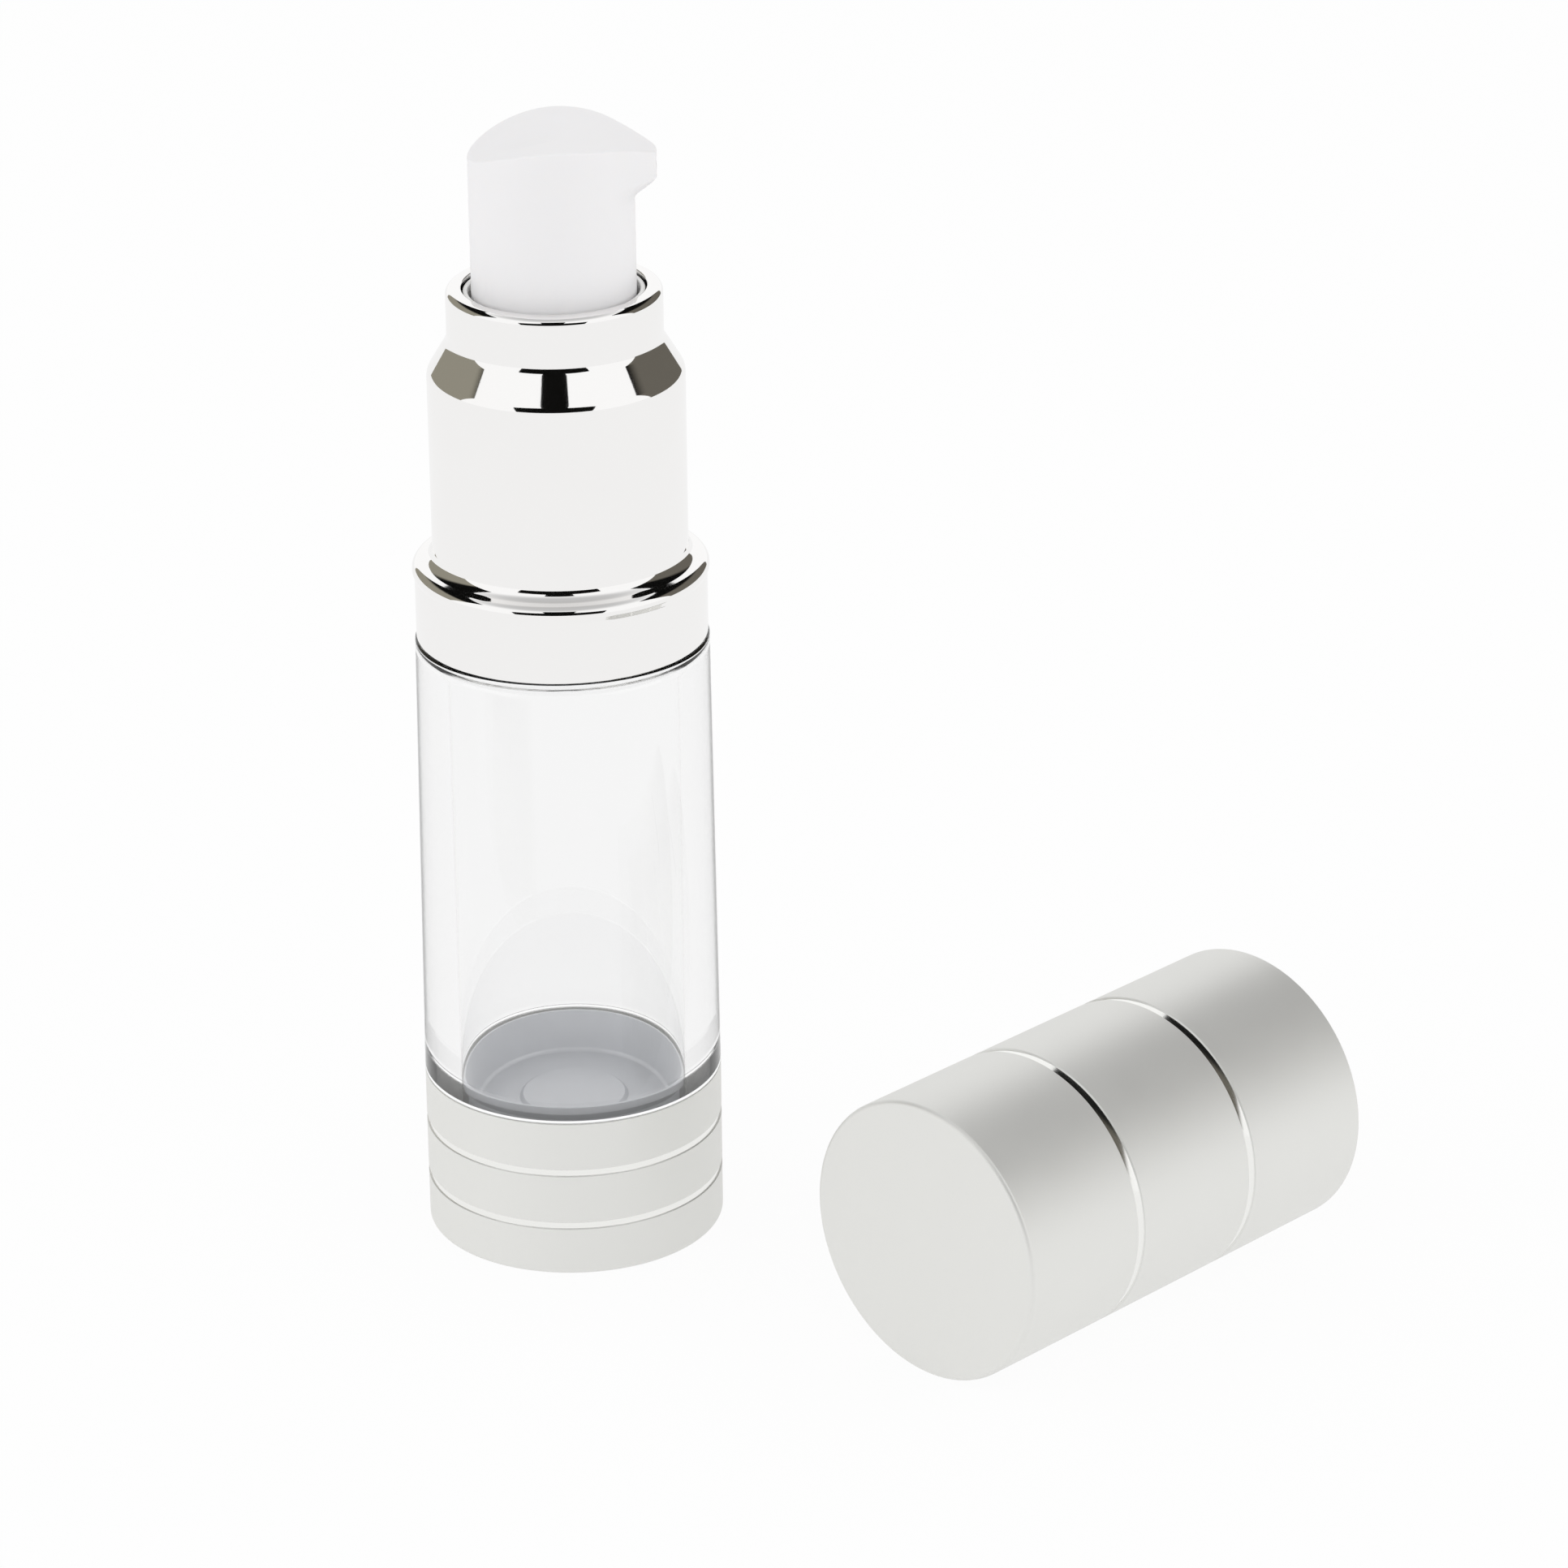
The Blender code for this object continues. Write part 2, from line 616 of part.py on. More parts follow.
def make_pump_housing():
    """Barrel with the inlet seat below, a flange on the rim and a plug seal in the neck."""
    seal = NECK_BORE - GAP
    seal_z = FLANGE_Z - PLUG_SEAL_DEPTH
    inlet = VALVE_WELL + INLET_WALL
    outline = [
        (BARREL_RADIUS, BARREL_TOP_Z),
        (BARREL_RADIUS, FLANGE_TOP_Z),
        (FLANGE_RADIUS, FLANGE_TOP_Z),
        (FLANGE_RADIUS, FLANGE_Z),
        (seal, FLANGE_Z),
        (seal, seal_z),
        (seal - PLUG_SEAL_WALL, seal_z),
        (seal - PLUG_SEAL_WALL, FLANGE_Z),
        (BARREL_RADIUS, FLANGE_Z),
        (BARREL_RADIUS, CHAMBER_Z - BARREL_SHOULDER),
        (inlet, CHAMBER_Z - BARREL_SHOULDER - BARREL_RADIUS + inlet),
        (inlet, HOUSING_Z),
        (VALVE_HOLE, HOUSING_Z),
        (VALVE_HOLE, INLET_SEAT_Z),
        (VALVE_WELL, INLET_SEAT_Z + SEAT_HEIGHT),
        (VALVE_WELL, CHAMBER_Z),
        (BARREL_BORE, CHAMBER_Z),
        (BARREL_BORE, BARREL_TOP_Z),
    ]
    turned("pump_housing", outline, SMALL_STEPS, "white_polypropylene")


def make_inlet_cage():
    """Ring that keeps the inlet ball in its well, with slots for the flow."""
    outline = [
        (BARREL_BORE - GAP, CAGE_Z + CAGE_THICKNESS),
        (BARREL_BORE - GAP, CAGE_Z),
        (CAGE_HOLE, CAGE_Z),
        (CAGE_HOLE, CAGE_Z + CAGE_THICKNESS),
    ]
    cage = turned("inlet_cage", outline, SMALL_STEPS, "white_polypropylene")
    for i in range(CAGE_SLOTS // 2):
        slot = [
            (-CAGE_SLOT_REACH, -CAGE_SLOT_WIDTH / 2),
            (CAGE_SLOT_REACH, -CAGE_SLOT_WIDTH / 2),
            (CAGE_SLOT_REACH, CAGE_SLOT_WIDTH / 2),
            (-CAGE_SLOT_REACH, CAGE_SLOT_WIDTH / 2),
        ]
        name = f"cage_slot_{i + 1}"
        cutter = new_cutter(name, slab_mesh(name, slot, CAGE_THICKNESS))
        cutter.location.z = CAGE_Z + CAGE_THICKNESS / 2
        cutter.rotation_euler.z = math.tau * i / CAGE_SLOTS
        boolean(cage, cutter, "DIFFERENCE")


def make_housing_closure():
    """Closure snapped over the barrel: it stops the piston, guides the stem and traps the web."""
    catch = WEB_HOLE + CLOSURE_CATCH
    sleeve = BARREL_BORE - GAP
    over_barrel = BARREL_RADIUS + GAP
    outline = [
        (CLOSURE_RADIUS, CLOSURE_TOP_Z),
        (CLOSURE_RADIUS, CATCH_Z + CLOSURE_CATCH_THICKNESS),
        (catch, CATCH_Z + CLOSURE_CATCH_THICKNESS),
        (catch, CATCH_Z),
        (over_barrel, CATCH_Z),
        (over_barrel, CLOSURE_PLATE_Z),
        (sleeve, CLOSURE_PLATE_Z),
        (sleeve, STEM_Z),
        (CLOSURE_HOLE, STEM_Z),
        (CLOSURE_HOLE, CLOSURE_TOP_Z),
    ]
    turned("housing_closure", outline, SMALL_STEPS, "white_polypropylene")


def make_plunger_rod():
    """Hollow rod whose foot carries the piston up again."""
    top = STEM_Z + ROD_SOCKET_DEPTH - GAP
    outline = [
        (ROD_RADIUS, top),
        (ROD_RADIUS, ROD_FOOT_Z + ROD_FOOT),
        (ROD_FOOT_RADIUS, ROD_FOOT_Z + ROD_FOOT),
        (ROD_FOOT_RADIUS, ROD_FOOT_Z),
        (ROD_BORE, ROD_FOOT_Z),
        (ROD_BORE, top),
    ]
    turned("plunger_rod", outline, SMALL_STEPS, "white_polypropylene")


def make_pump_piston():
    """Piston with a lip at each end, trapped between the rod's foot and the stem."""
    bore = ROD_RADIUS + GAP
    sleeve = bore + PISTON_SLEEVE_WALL
    lip = BARREL_BORE - LIP_GAP
    top = PISTON_Z + PISTON_LENGTH
    flare = PISTON_LIP + PISTON_LIP_FLARE
    outline = [
        (lip, top),
        (lip, top - PISTON_LIP),
        (sleeve, top - flare),
        (sleeve, PISTON_Z + flare),
        (lip, PISTON_Z + PISTON_LIP),
        (lip, PISTON_Z),
        (bore, PISTON_Z),
        (bore, top),
    ]
    turned("pump_piston", outline, SMALL_STEPS, "natural_polyethylene")


def make_stem():
    """Stem with the rod's socket below, the spring's flange and the outlet valve's cup above."""
    socket_top = STEM_Z + ROD_SOCKET_DEPTH
    outline = [
        (VALVE_CUP_RADIUS, VALVE_CUP_TOP_Z),
        (VALVE_CUP_RADIUS, OUTLET_SEAT_Z),
        (STEM_FLANGE_RADIUS, OUTLET_SEAT_Z),
        (STEM_FLANGE_RADIUS, STEM_FLANGE_Z),
        (STEM_RADIUS, STEM_FLANGE_Z),
        (STEM_RADIUS, STEM_Z),
        (STEM_BORE, STEM_Z),
        (STEM_BORE, socket_top),
        (VALVE_HOLE, socket_top),
        (VALVE_HOLE, OUTLET_SEAT_Z),
        (VALVE_WELL, OUTLET_SEAT_Z + SEAT_HEIGHT),
        (VALVE_WELL, VALVE_CUP_TOP_Z),
    ]
    turned("stem", outline, SMALL_STEPS, "white_polypropylene")


def make_ball(name, seat_z):
    ball = new_piece(name, ball_mesh(name, BALL_RADIUS), "spring_steel")
    ball.location.z = seat_z + BALL_RISE


def make_return_spring():
    """Compression spring round the stem, as one unbroken helix."""
    radius = STEM_RADIUS + GAP + SPRING_WIRE / 2
    count = SPRING_TURNS * SPRING_POINTS_PER_TURN
    rise = SPRING_LENGTH - SPRING_WIRE
    curve = bpy.data.curves.new("return_spring", "CURVE")
    curve.dimensions = "3D"
    curve.bevel_depth = SPRING_WIRE / 2
    curve.bevel_resolution = 1
    curve.use_fill_caps = True
    spline = curve.splines.new("POLY")
    spline.points.add(count)
    for i, point in enumerate(spline.points):
        angle = math.tau * i / SPRING_POINTS_PER_TURN
        height = SPRING_Z + SPRING_WIRE / 2 + rise * i / count
        point.co = (radius * math.cos(angle), radius * math.sin(angle), height, 1)
    new_piece("return_spring", mesh_of_curve("return_spring", curve), "spring_steel")
    print("least gap between spring turns:", rise / SPRING_TURNS - SPRING_WIRE, "m")


def vault_height(x):
    """Height of the head's arched top at x along the beak's direction."""
    half_chord = (BEAK_REACH + HEAD_RADIUS) / 2
    middle = BEAK_REACH - half_chord
    share = (x - middle) / half_chord
    ends = HEAD_RIM_Z if share < 0 else BEAK_TIP_Z
    return VAULT_TOP_Z - (VAULT_TOP_Z - ends) * share**2


def head_cutter(name, mesh):
    """A helper of the head, turned with it to the beak's direction."""
    cutter = new_cutter(name, mesh)
    cutter.rotation_euler.z = NOZZLE_ANGLE
    return cutter


def head_vault():
    """What lies under the arched top, seen from the side."""
    low, high = -HEAD_RADIUS - CUT_PAST, BEAK_REACH + CUT_PAST
    xs = [low + (high - low) * i / VAULT_STEPS for i in range(VAULT_STEPS + 1)]
    points = [(low, HEAD_FOOT_Z - CUT_PAST), (high, HEAD_FOOT_Z - CUT_PAST)]
    points += [(x, vault_height(x)) for x in reversed(xs)]
    vault = head_cutter("head_vault", slab_mesh("head_vault", points, HEAD_RADIUS + CUT_PAST))
    vault.rotation_euler = (math.pi / 2, 0, NOZZLE_ANGLE)
    return vault


def head_beak():
    """The beak seen from the side, narrowed by two flanks that leave the round head at a tangent."""
    underside = BEAK_TIP_Z - BEAK_TIP_HEIGHT
    bend = BEAK_REACH - HEAD_RADIUS
    root = underside - BEAK_UNDERSIDE_RISE
    start = HEAD_RADIUS * math.cos(BEAK_FLANK_ANGLE)
    points = [(start, VAULT_TOP_Z + CUT_PAST), (start, root - bend)]
    points += [(HEAD_RADIUS - bend, root - bend), (HEAD_RADIUS, root)]
    points += [(HEAD_RADIUS + bend / 2, underside - BEAK_UNDERSIDE_RISE / 3)]
    points += [(BEAK_REACH, underside), (BEAK_REACH, VAULT_TOP_Z + CUT_PAST)]
    mesh = slab_mesh("head_beak", points, 1)
    for vert in mesh.vertices:
        flank = HEAD_RADIUS - vert.co.x * math.cos(BEAK_FLANK_ANGLE)
        vert.co.z *= flank / math.sin(BEAK_FLANK_ANGLE)
    beak = head_cutter("head_beak", mesh)
    beak.rotation_euler = (math.pi / 2, 0, NOZZLE_ANGLE)
    return beak


def head_dish():
    """Ball that scoops the shallow thumb dish."""
    radius = (DISH_RADIUS**2 + DISH_DEPTH**2) / (2 * DISH_DEPTH)
    low = vault_height(DISH_CENTRE) - DISH_DEPTH
    outline = arc((0, low + radius), radius, -90, -60, 5)
    outline = [(0, low + DISH_DEPTH + CUT_PAST)] + outline[::-1]
    keep = [point for point in outline if point[1] <= low + DISH_DEPTH + CUT_PAST]
    dish = turned_cutter("head_dish", keep, SMALL_STEPS, closed=False)
    dish.rotation_euler.z = NOZZLE_ANGLE
    dish.location.x = DISH_CENTRE * math.cos(NOZZLE_ANGLE)
    dish.location.y = DISH_CENTRE * math.sin(NOZZLE_ANGLE)
    return dish


def head_hollow():
    """The ring-shaped hollow under the head, round its socket."""
    socket_wall = HEAD_SOCKET + HEAD_SOCKET_WALL
    inner = HEAD_RADIUS - HEAD_WALL
    foot = HEAD_FOOT_Z - CUT_PAST
    socket_foot = OUTLET_SEAT_Z + GAP
    outline = [
        (inner, CAVITY_TOP_Z),
        (inner, foot),
        (0, foot),
        (0, socket_foot),
        (socket_wall, socket_foot),
        (socket_wall, CAVITY_TOP_Z),
    ]
    return turned_cutter("head_hollow", outline, LARGE_STEPS)


def head_bores():
    """The stem's socket, the rising channel beside its axis and the channel out of the beak."""
    socket = rod_mesh("head_socket", HEAD_SOCKET, OUTLET_SEAT_Z - CUT_PAST, SOCKET_TOP_Z, SMALL_STEPS)
    riser = rod_mesh("head_riser", CHANNEL_RADIUS, SOCKET_TOP_Z - GAP, CHANNEL_Z, SMALL_STEPS // 2)
    outlet = rod_mesh("head_outlet", CHANNEL_RADIUS, 0, BEAK_REACH + CUT_PAST, SMALL_STEPS // 2)
    cutters = [head_cutter(mesh.name, mesh) for mesh in (socket, riser, outlet)]
    cutters[1].location = polar(CHANNEL_OFFSET, 0)
    cutters[2].location = (0, 0, CHANNEL_Z)
    cutters[2].rotation_euler = (0, math.pi / 2, NOZZLE_ANGLE)
    return cutters


def polar(distance, height):
    """A place at a distance along the beak's direction."""
    return (distance * math.cos(NOZZLE_ANGLE), distance * math.sin(NOZZLE_ANGLE), height)


def make_actuator():
    """White press head: a round shell with an arched top, a beak, a socket and its channel."""
    mesh = rod_mesh("actuator", HEAD_RADIUS, HEAD_FOOT_Z, VAULT_TOP_Z + CUT_PAST, LARGE_STEPS)
    head = new_piece("actuator", mesh, "white_polypropylene")
    head.rotation_euler.z = NOZZLE_ANGLE
    boolean(head, head_beak(), "UNION")
    boolean(head, head_vault(), "INTERSECT")
    for cutter in [head_dish(), head_hollow(), *head_bores()]:
        boolean(head, cutter, "DIFFERENCE")


def make_cap(rest):
    """Matte cap shell with two cut grooves, and its liner, upright until the rest turns them."""
    inner = CAP_RADIUS - CAP_SHELL_WALL
    outline = [(0, CAP_LENGTH)] + arc((CAP_RADIUS - CAP_EDGE, CAP_LENGTH - CAP_EDGE), CAP_EDGE, 90, 0, 2)
    for depth in CAP_GROOVE_DEPTHS:
        outline += groove(CAP_RADIUS, CAP_LENGTH - depth)
    outline += [(CAP_RADIUS, 0), (inner, 0)]
    outline += [(inner, CAP_LENGTH - CAP_SHELL_WALL), (0, CAP_LENGTH - CAP_SHELL_WALL)]
    shell = turned("cap_shell", outline, LARGE_STEPS, "satin_aluminium", closed=False)
    liner_top = CAP_LENGTH - CAP_SHELL_WALL - GAP
    outline = [
        (0, liner_top),
        (LINER_RADIUS, liner_top),
        (LINER_RADIUS, LINER_SHORT),
        (LINER_BORE, LINER_SHORT),
        (LINER_BORE, liner_top - LINER_END),
        (0, liner_top - LINER_END),
    ]
    liner = turned("cap_liner", outline, LARGE_STEPS, "white_polypropylene", closed=False)
    shell.parent = liner.parent = rest


def lay_cap():
    """An empty that lays the cap on its side: its closed end at -X, its mouth at +X."""
    rest = bpy.data.objects.new("cap_rest", None)
    PARTS.objects.link(rest)
    rest.location = (CAP_END_X + CAP_LENGTH, CAP_AXIS_Y, CAP_RADIUS)
    rest.rotation_euler.y = -math.pi / 2
    return rest


def main():
    make_base_cup()
    make_base_plug()
    make_bottle_body()
    make_follower()
    make_collar_shell()
    make_collar_insert()
    make_neck_gasket()
    make_pump_housing()
    make_inlet_cage()
    make_housing_closure()
    make_plunger_rod()
    make_pump_piston()
    make_stem()
    make_ball("inlet_ball", INLET_SEAT_Z)
    make_ball("outlet_ball", OUTLET_SEAT_Z)
    make_return_spring()
    make_actuator()
    make_cap(lay_cap())


empty_scene()
PARTS = new_collection("travel_pump_bottle")
CUTTERS = new_collection("cutters")
main()
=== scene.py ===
"""Travel-size airless pump bottle with its cap beside it, dressed and lit on a plain white floor.

Lengths are in metres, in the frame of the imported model: the bottle stands on the origin, +Z is up,
and the cap lies along +X beside it. The beak of the press head points to +X -Y.
"""

import math

import bmesh
import bpy
from bpy.props import FloatProperty, FloatVectorProperty, PointerProperty
from mathutils import Matrix, Vector


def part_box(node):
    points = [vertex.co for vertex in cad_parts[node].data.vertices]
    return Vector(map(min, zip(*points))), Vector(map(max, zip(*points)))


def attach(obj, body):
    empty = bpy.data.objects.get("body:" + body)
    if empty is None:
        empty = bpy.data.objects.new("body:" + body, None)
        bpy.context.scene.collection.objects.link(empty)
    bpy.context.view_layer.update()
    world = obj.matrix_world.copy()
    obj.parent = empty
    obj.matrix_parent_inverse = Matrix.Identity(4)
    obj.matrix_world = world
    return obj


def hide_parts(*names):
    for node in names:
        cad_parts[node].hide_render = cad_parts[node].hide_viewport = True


bl_info = {
    "name": "Travel pump bottle",
    "version": (1, 0, 0),
    "blender": (4, 5, 0),
    "location": "3D View > Sidebar > Travel bottle",
    "description": "Builds an aluminium and acrylic airless pump bottle, its cap and its studio",
    "category": "Object",
}

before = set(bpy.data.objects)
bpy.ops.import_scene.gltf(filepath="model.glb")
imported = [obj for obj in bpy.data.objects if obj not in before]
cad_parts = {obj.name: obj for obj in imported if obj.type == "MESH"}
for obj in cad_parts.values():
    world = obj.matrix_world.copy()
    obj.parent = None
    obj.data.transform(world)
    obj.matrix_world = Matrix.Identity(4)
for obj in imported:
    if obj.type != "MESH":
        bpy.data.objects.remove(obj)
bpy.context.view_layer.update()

MM = 0.001
AROUND = 192  # faces round a turned piece
CUT_AROUND = 48  # faces round a small bore
HAIR = 1e-7  # corners closer than this are welded
PAST = 0.001  # how far a cutter sticks out of what it cuts
SHARP = math.radians(35)  # corners sharper than this stay crisp
ARC_STEP = math.radians(11)  # turn of one step of a rounding

# Thread ridge: steps a turn, steps of its run-out, and its section as shares of its depth and pitch
THREAD_STEPS = 64
RUN_OUT = 8
ROOT_SUNK, CREST_SUNK = 0.4, 0.1
ROOT_HALF, CREST_HALF = 0.2, 0.12

# Cut grooves: share of the width that is floor, and shares of the depth between which it lies
GROOVE_FLOOR = 0.8
FLOOR_DEPTHS = (0.9, 1.5)


def linear(hex_colour):
    """Linear red, green and blue of an sRGB hex colour."""
    parts = [int(hex_colour[i : i + 2], 16) / 255 for i in (1, 3, 5)]
    return [c / 12.92 if c <= 0.04045 else ((c + 0.055) / 1.055) ** 2.4 for c in parts]


def length(name, description, default):
    """A length property in metres."""
    return FloatProperty(
        name=name,
        description=description,
        default=default,
        min=0,
        precision=5,
        unit="LENGTH",
        subtype="DISTANCE",
    )


def colour(name, description, hex_colour):
    """A colour property, given as sRGB hex."""
    value = linear(hex_colour)
    return FloatVectorProperty(
        name=name, description=description, default=value, min=0, max=1, subtype="COLOR"
    )


def level(name, description, default, highest=100):
    """A plain number from 0 up."""
    return FloatProperty(name=name, description=description, default=default, min=0, max=highest)


class BaseSizes(bpy.types.PropertyGroup):
    """Base cup, base plug and follower piston."""

    cup_wall: length("Cup wall", "Thickness of the drawn cup's wall", 0.0006)
    cup_floor: length("Cup floor", "Thickness of the cup's floor", 0.0008)
    cup_edge: length("Cup edge", "Rounding where the cup's side meets its foot", 0.0004)
    groove_width: length("Groove width", "Width of a cut groove", 0.0007)
    groove_depth: length("Groove depth", "Depth of a cut groove", 0.00012)
    seam: length("Seam", "Rounding of the cup's rim", 0.00006)
    upper_groove: length("Upper groove", "Height of the upper groove", 0.0098)
    lower_groove: length("Lower groove", "Height of the lower groove", 0.0047)
    vent_radius: length("Vent radius", "Radius of the air hole in the cup's floor", 0.0008)
    vent_offset: length("Vent offset", "Distance of the air hole from the axis", 0.0060)
    plug_skirt_wall: length("Plug skirt", "Wall of the plug's skirt", 0.0010)
    plug_flange: length("Plug flange", "Thickness of the plug's flange", 0.0010)
    follower_wall: length("Follower wall", "Wall of the follower's cup", 0.0008)
    follower_waist: length("Follower waist", "How far the waist lies in from the lips", 0.0004)
    follower_lip: length("Follower lip", "Height of one sealing lip", 0.0007)
    follower_edge: length("Follower edge", "Thickness of the upper lip's edge", 0.0002)
    follower_floor: length("Follower floor", "Height of the dish's floor above its foot", 0.0018)
    boss_radius: length("Boss radius", "Radius of the raised disc in the follower's dish", 0.0045)
    boss_height: length("Boss height", "Height of the raised disc in the follower's dish", 0.0003)


class BodySizes(bpy.types.PropertyGroup):
    """Clear body with its threaded neck."""

    top_radius: length("Top radius", "Outer radius at the shoulder", 0.01257)
    step_radius: length("Step radius", "Outer radius inside the base cup", 0.0121)
    step_height: length("Step height", "Height where the window starts", 0.0146)
    bore: length("Bore", "Radius of the chamber", 0.0099)
    shoulder: length("Shoulder", "Height of the shoulder", 0.0551)
    shoulder_wall: length("Shoulder wall", "Thickness of the shoulder over the chamber", 0.0016)
    neck: length("Neck", "Outer radius of the neck under its thread", 0.0095)
    neck_bore: length("Neck bore", "Inner radius of the neck", 0.0081)
    edge: length("Edge", "Rounding of the moulded edges", 0.0003)
    thread_depth: length("Thread depth", "Height of the neck thread", 0.00075)
    thread_pitch: length("Thread pitch", "Rise of the neck thread in a turn", 0.0020)
    thread_turns: level("Thread turns", "Turns of the neck thread", 1.25)
    thread_top: length("Thread top", "How far the thread ends below the rim", 0.00085)


class CollarSizes(bpy.types.PropertyGroup):
    """Bright collar shell, from its ring down to its band."""

    wall: length("Wall", "Thickness of the drawn shell", 0.0005)
    hole: length("Hole", "Radius of the hole that the head passes through", 0.00777)
    ring: length("Ring", "Outer radius of the ring", 0.0091)
    ring_edge: length("Ring edge", "Rounding of the ring's upper edge", 0.00065)
    ring_foot: length("Ring foot", "Height where the ring meets the cone", 0.0817)
    cone_foot: length("Cone foot", "Height where the cone meets the neck", 0.0788)
    neck: length("Neck", "Outer radius of the straight neck", 0.01087)
    neck_foot: length("Neck foot", "Height where the neck meets the bead's slope", 0.06236)
    neck_fillet: length("Neck fillet", "Hollow rounding at the neck's foot", 0.0011)
    bead_top: length("Bead top", "Height where the slope meets the bead's side", 0.06188)
    bead_radius: length("Bead radius", "Outer radius of the rolled bead", 0.01264)
    bead_round: length("Bead round", "Rounding of the bead", 0.0008)
    bead_side: length("Bead side", "Height where the bead's side ends", 0.0611)
    bead_edge: length("Bead edge", "Rounding of the bead's lower edge", 0.0003)
    band: length("Band", "Outer radius of the band", 0.01245)
    band_top: length("Band top", "Height where the band starts", 0.06065)
    foot_drop: length("Foot drop", "How far the band reaches down towards the shoulder", 0.0002)
    crease: length("Crease", "Rounding of the creases between ring, cone and neck", 0.0015)


class InsertSizes(bpy.types.PropertyGroup):
    """White insert in the collar: thread, web and the sleeve that guides the head."""

    guide: length("Guide", "Outer radius of the sleeve in the ring's hole", 0.00762)
    guide_bore: length("Guide bore", "Inner radius of the sleeve", 0.00721)
    guide_foot: length("Guide foot", "Height of the ledge that carries the sleeve", 0.0783)
    radius: length("Radius", "Outer radius above the skirt", 0.01007)
    pocket: length("Pocket", "Inner radius over the web", 0.00937)
    taper_top: length("Taper top", "Height where the taper to the skirt starts", 0.0625)
    taper_foot: length("Taper foot", "Height where the taper meets the skirt", 0.0607)
    skirt: length("Skirt", "Outer radius of the threaded skirt", 0.01165)
    thread_root: length("Thread root", "Inner radius of the threaded skirt", 0.01055)
    seat: length("Seat", "Height of the step over the thread", 0.0612)
    web: length("Web", "Height of the web that holds the pump down", 0.0638)
    web_wall: length("Web wall", "Thickness of the web and of the ledge", 0.0010)
    web_hole: length("Web hole", "Radius of the hole in the web", 0.0058)


class HeadSizes(bpy.types.PropertyGroup):
    """Press head with its arched top and beak."""

    radius: length("Radius", "Radius of the round head", 0.00691)
    wall: length("Wall", "Wall of the head's skirt", 0.0009)
    rim: length("Rim", "Height of the arched top at the back", 0.09755)
    vault_top: length("Vault top", "Height of the arched top at its highest", 0.09955)
    beak_reach: length("Beak reach", "Distance of the beak's tip from the axis", 0.00875)
    beak_top: length("Beak top", "Height of the beak's tip", 0.09785)
    beak_foot: length("Beak foot", "Height of the beak's underside at its tip", 0.09555)
    beak_root: length("Beak root", "Height where the beak's underside meets the head", 0.09395)
    edge: length("Edge", "Rounding of the edge round the arched top", 0.00018)
    corner: length("Corner", "Rounding of the beak's two corners", 0.00022)
    dish_offset: length("Dish offset", "How far the thumb dish lies behind the axis", 0.0020)
    dish_radius: length("Dish radius", "Radius of the thumb dish", 0.0039)
    dish_depth: length("Dish depth", "Depth of the thumb dish", 0.00045)
    cavity_top: length("Cavity top", "Height of the hollow under the head", 0.09525)
    socket: length("Socket", "Radius of the socket on the stem", 0.0027)
    socket_wall: length("Socket wall", "Wall of the socket", 0.0008)
    socket_foot: length("Socket foot", "Height of the socket's foot", 0.08647)
    socket_top: length("Socket top", "Height of the socket's end", 0.08953)
    channel: length("Channel", "Radius of the two channels", 0.0006)
    channel_offset: length("Channel offset", "Distance of the rising channel from the axis", 0.0009)
    channel_height: length("Channel height", "Height of the channel out of the beak", 0.0967)


class CapSizes(bpy.types.PropertyGroup):
    """Cap shell and liner."""

    edge: length("Edge", "Rounding of the closed end's edge", 0.0004)
    wall: length("Wall", "Thickness of the drawn shell", 0.0005)
    groove_width: length("Groove width", "Width of a cut groove", 0.0009)
    groove_depth: length("Groove depth", "Depth of a cut groove", 0.00012)
    first_groove: length("First groove", "Distance of the first groove from the closed end", 0.0134)
    second_groove: length("Second groove", "Distance of the second groove from that end", 0.0275)
    liner_bore: length("Liner bore", "Inner radius of the liner", 0.01102)
    liner_end: length("Liner end", "Thickness of the liner's end", 0.0010)


class Colours(bpy.types.PropertyGroup):
    """Colours of the bottle's materials."""

    satin: colour("Satin aluminium", "Matte anodised cup and cap", "#ECECE9")
    cut: colour("Cut aluminium", "Grooves cut through the matte skin", "#F6F6F3")
    bright: colour("Bright aluminium", "Polished collar", "#F9F8F7")
    clear: colour("Clear acrylic", "Body", "#FFFFFF")
    white: colour("White polypropylene", "Head, plug and pump", "#EFEEEF")
    lining: colour("Lining polypropylene", "Cap liner and collar insert", "#F1F1EF")
    follower: colour("Follower grey", "Silver-grey follower piston", "#C0C2C6")
    natural: colour("Natural polyethylene", "Pump piston", "#E6E7E4")
    gasket: colour("Gasket grey", "Soft gasket", "#C3C6C3")
    steel: colour("Stainless steel", "Spring and balls", "#C8C8C9")


class StageSettings(bpy.types.PropertyGroup):
    """Floor, light and dark cards."""

    floor_glow: level("Floor glow", "Share of its white that the lamps don't give", 0.93, 1)
    floor_mirrored: level("Mirrored floor", "How bright the shiny parts see the floor", 0.93, 1)
    tent: level("Tent", "How bright the white surroundings light the object", 1.0, 2)
    roof: level("Roof", "Brightness of the surroundings overhead, as a share of the sides", 0.55, 1)
    side_lamp: FloatProperty(
        name="Side lamps", description="Power of each soft lamp", default=1.1, min=0, unit="POWER"
    )
    card: colour("Dark card", "Card over the camera that the bright collar mirrors", "#0B0B0A")
    left_card: colour("Left card", "Lower part of the card at the left", "#918D80")
    right_card: colour("Right card", "Lower part of the card at the right", "#66625A")


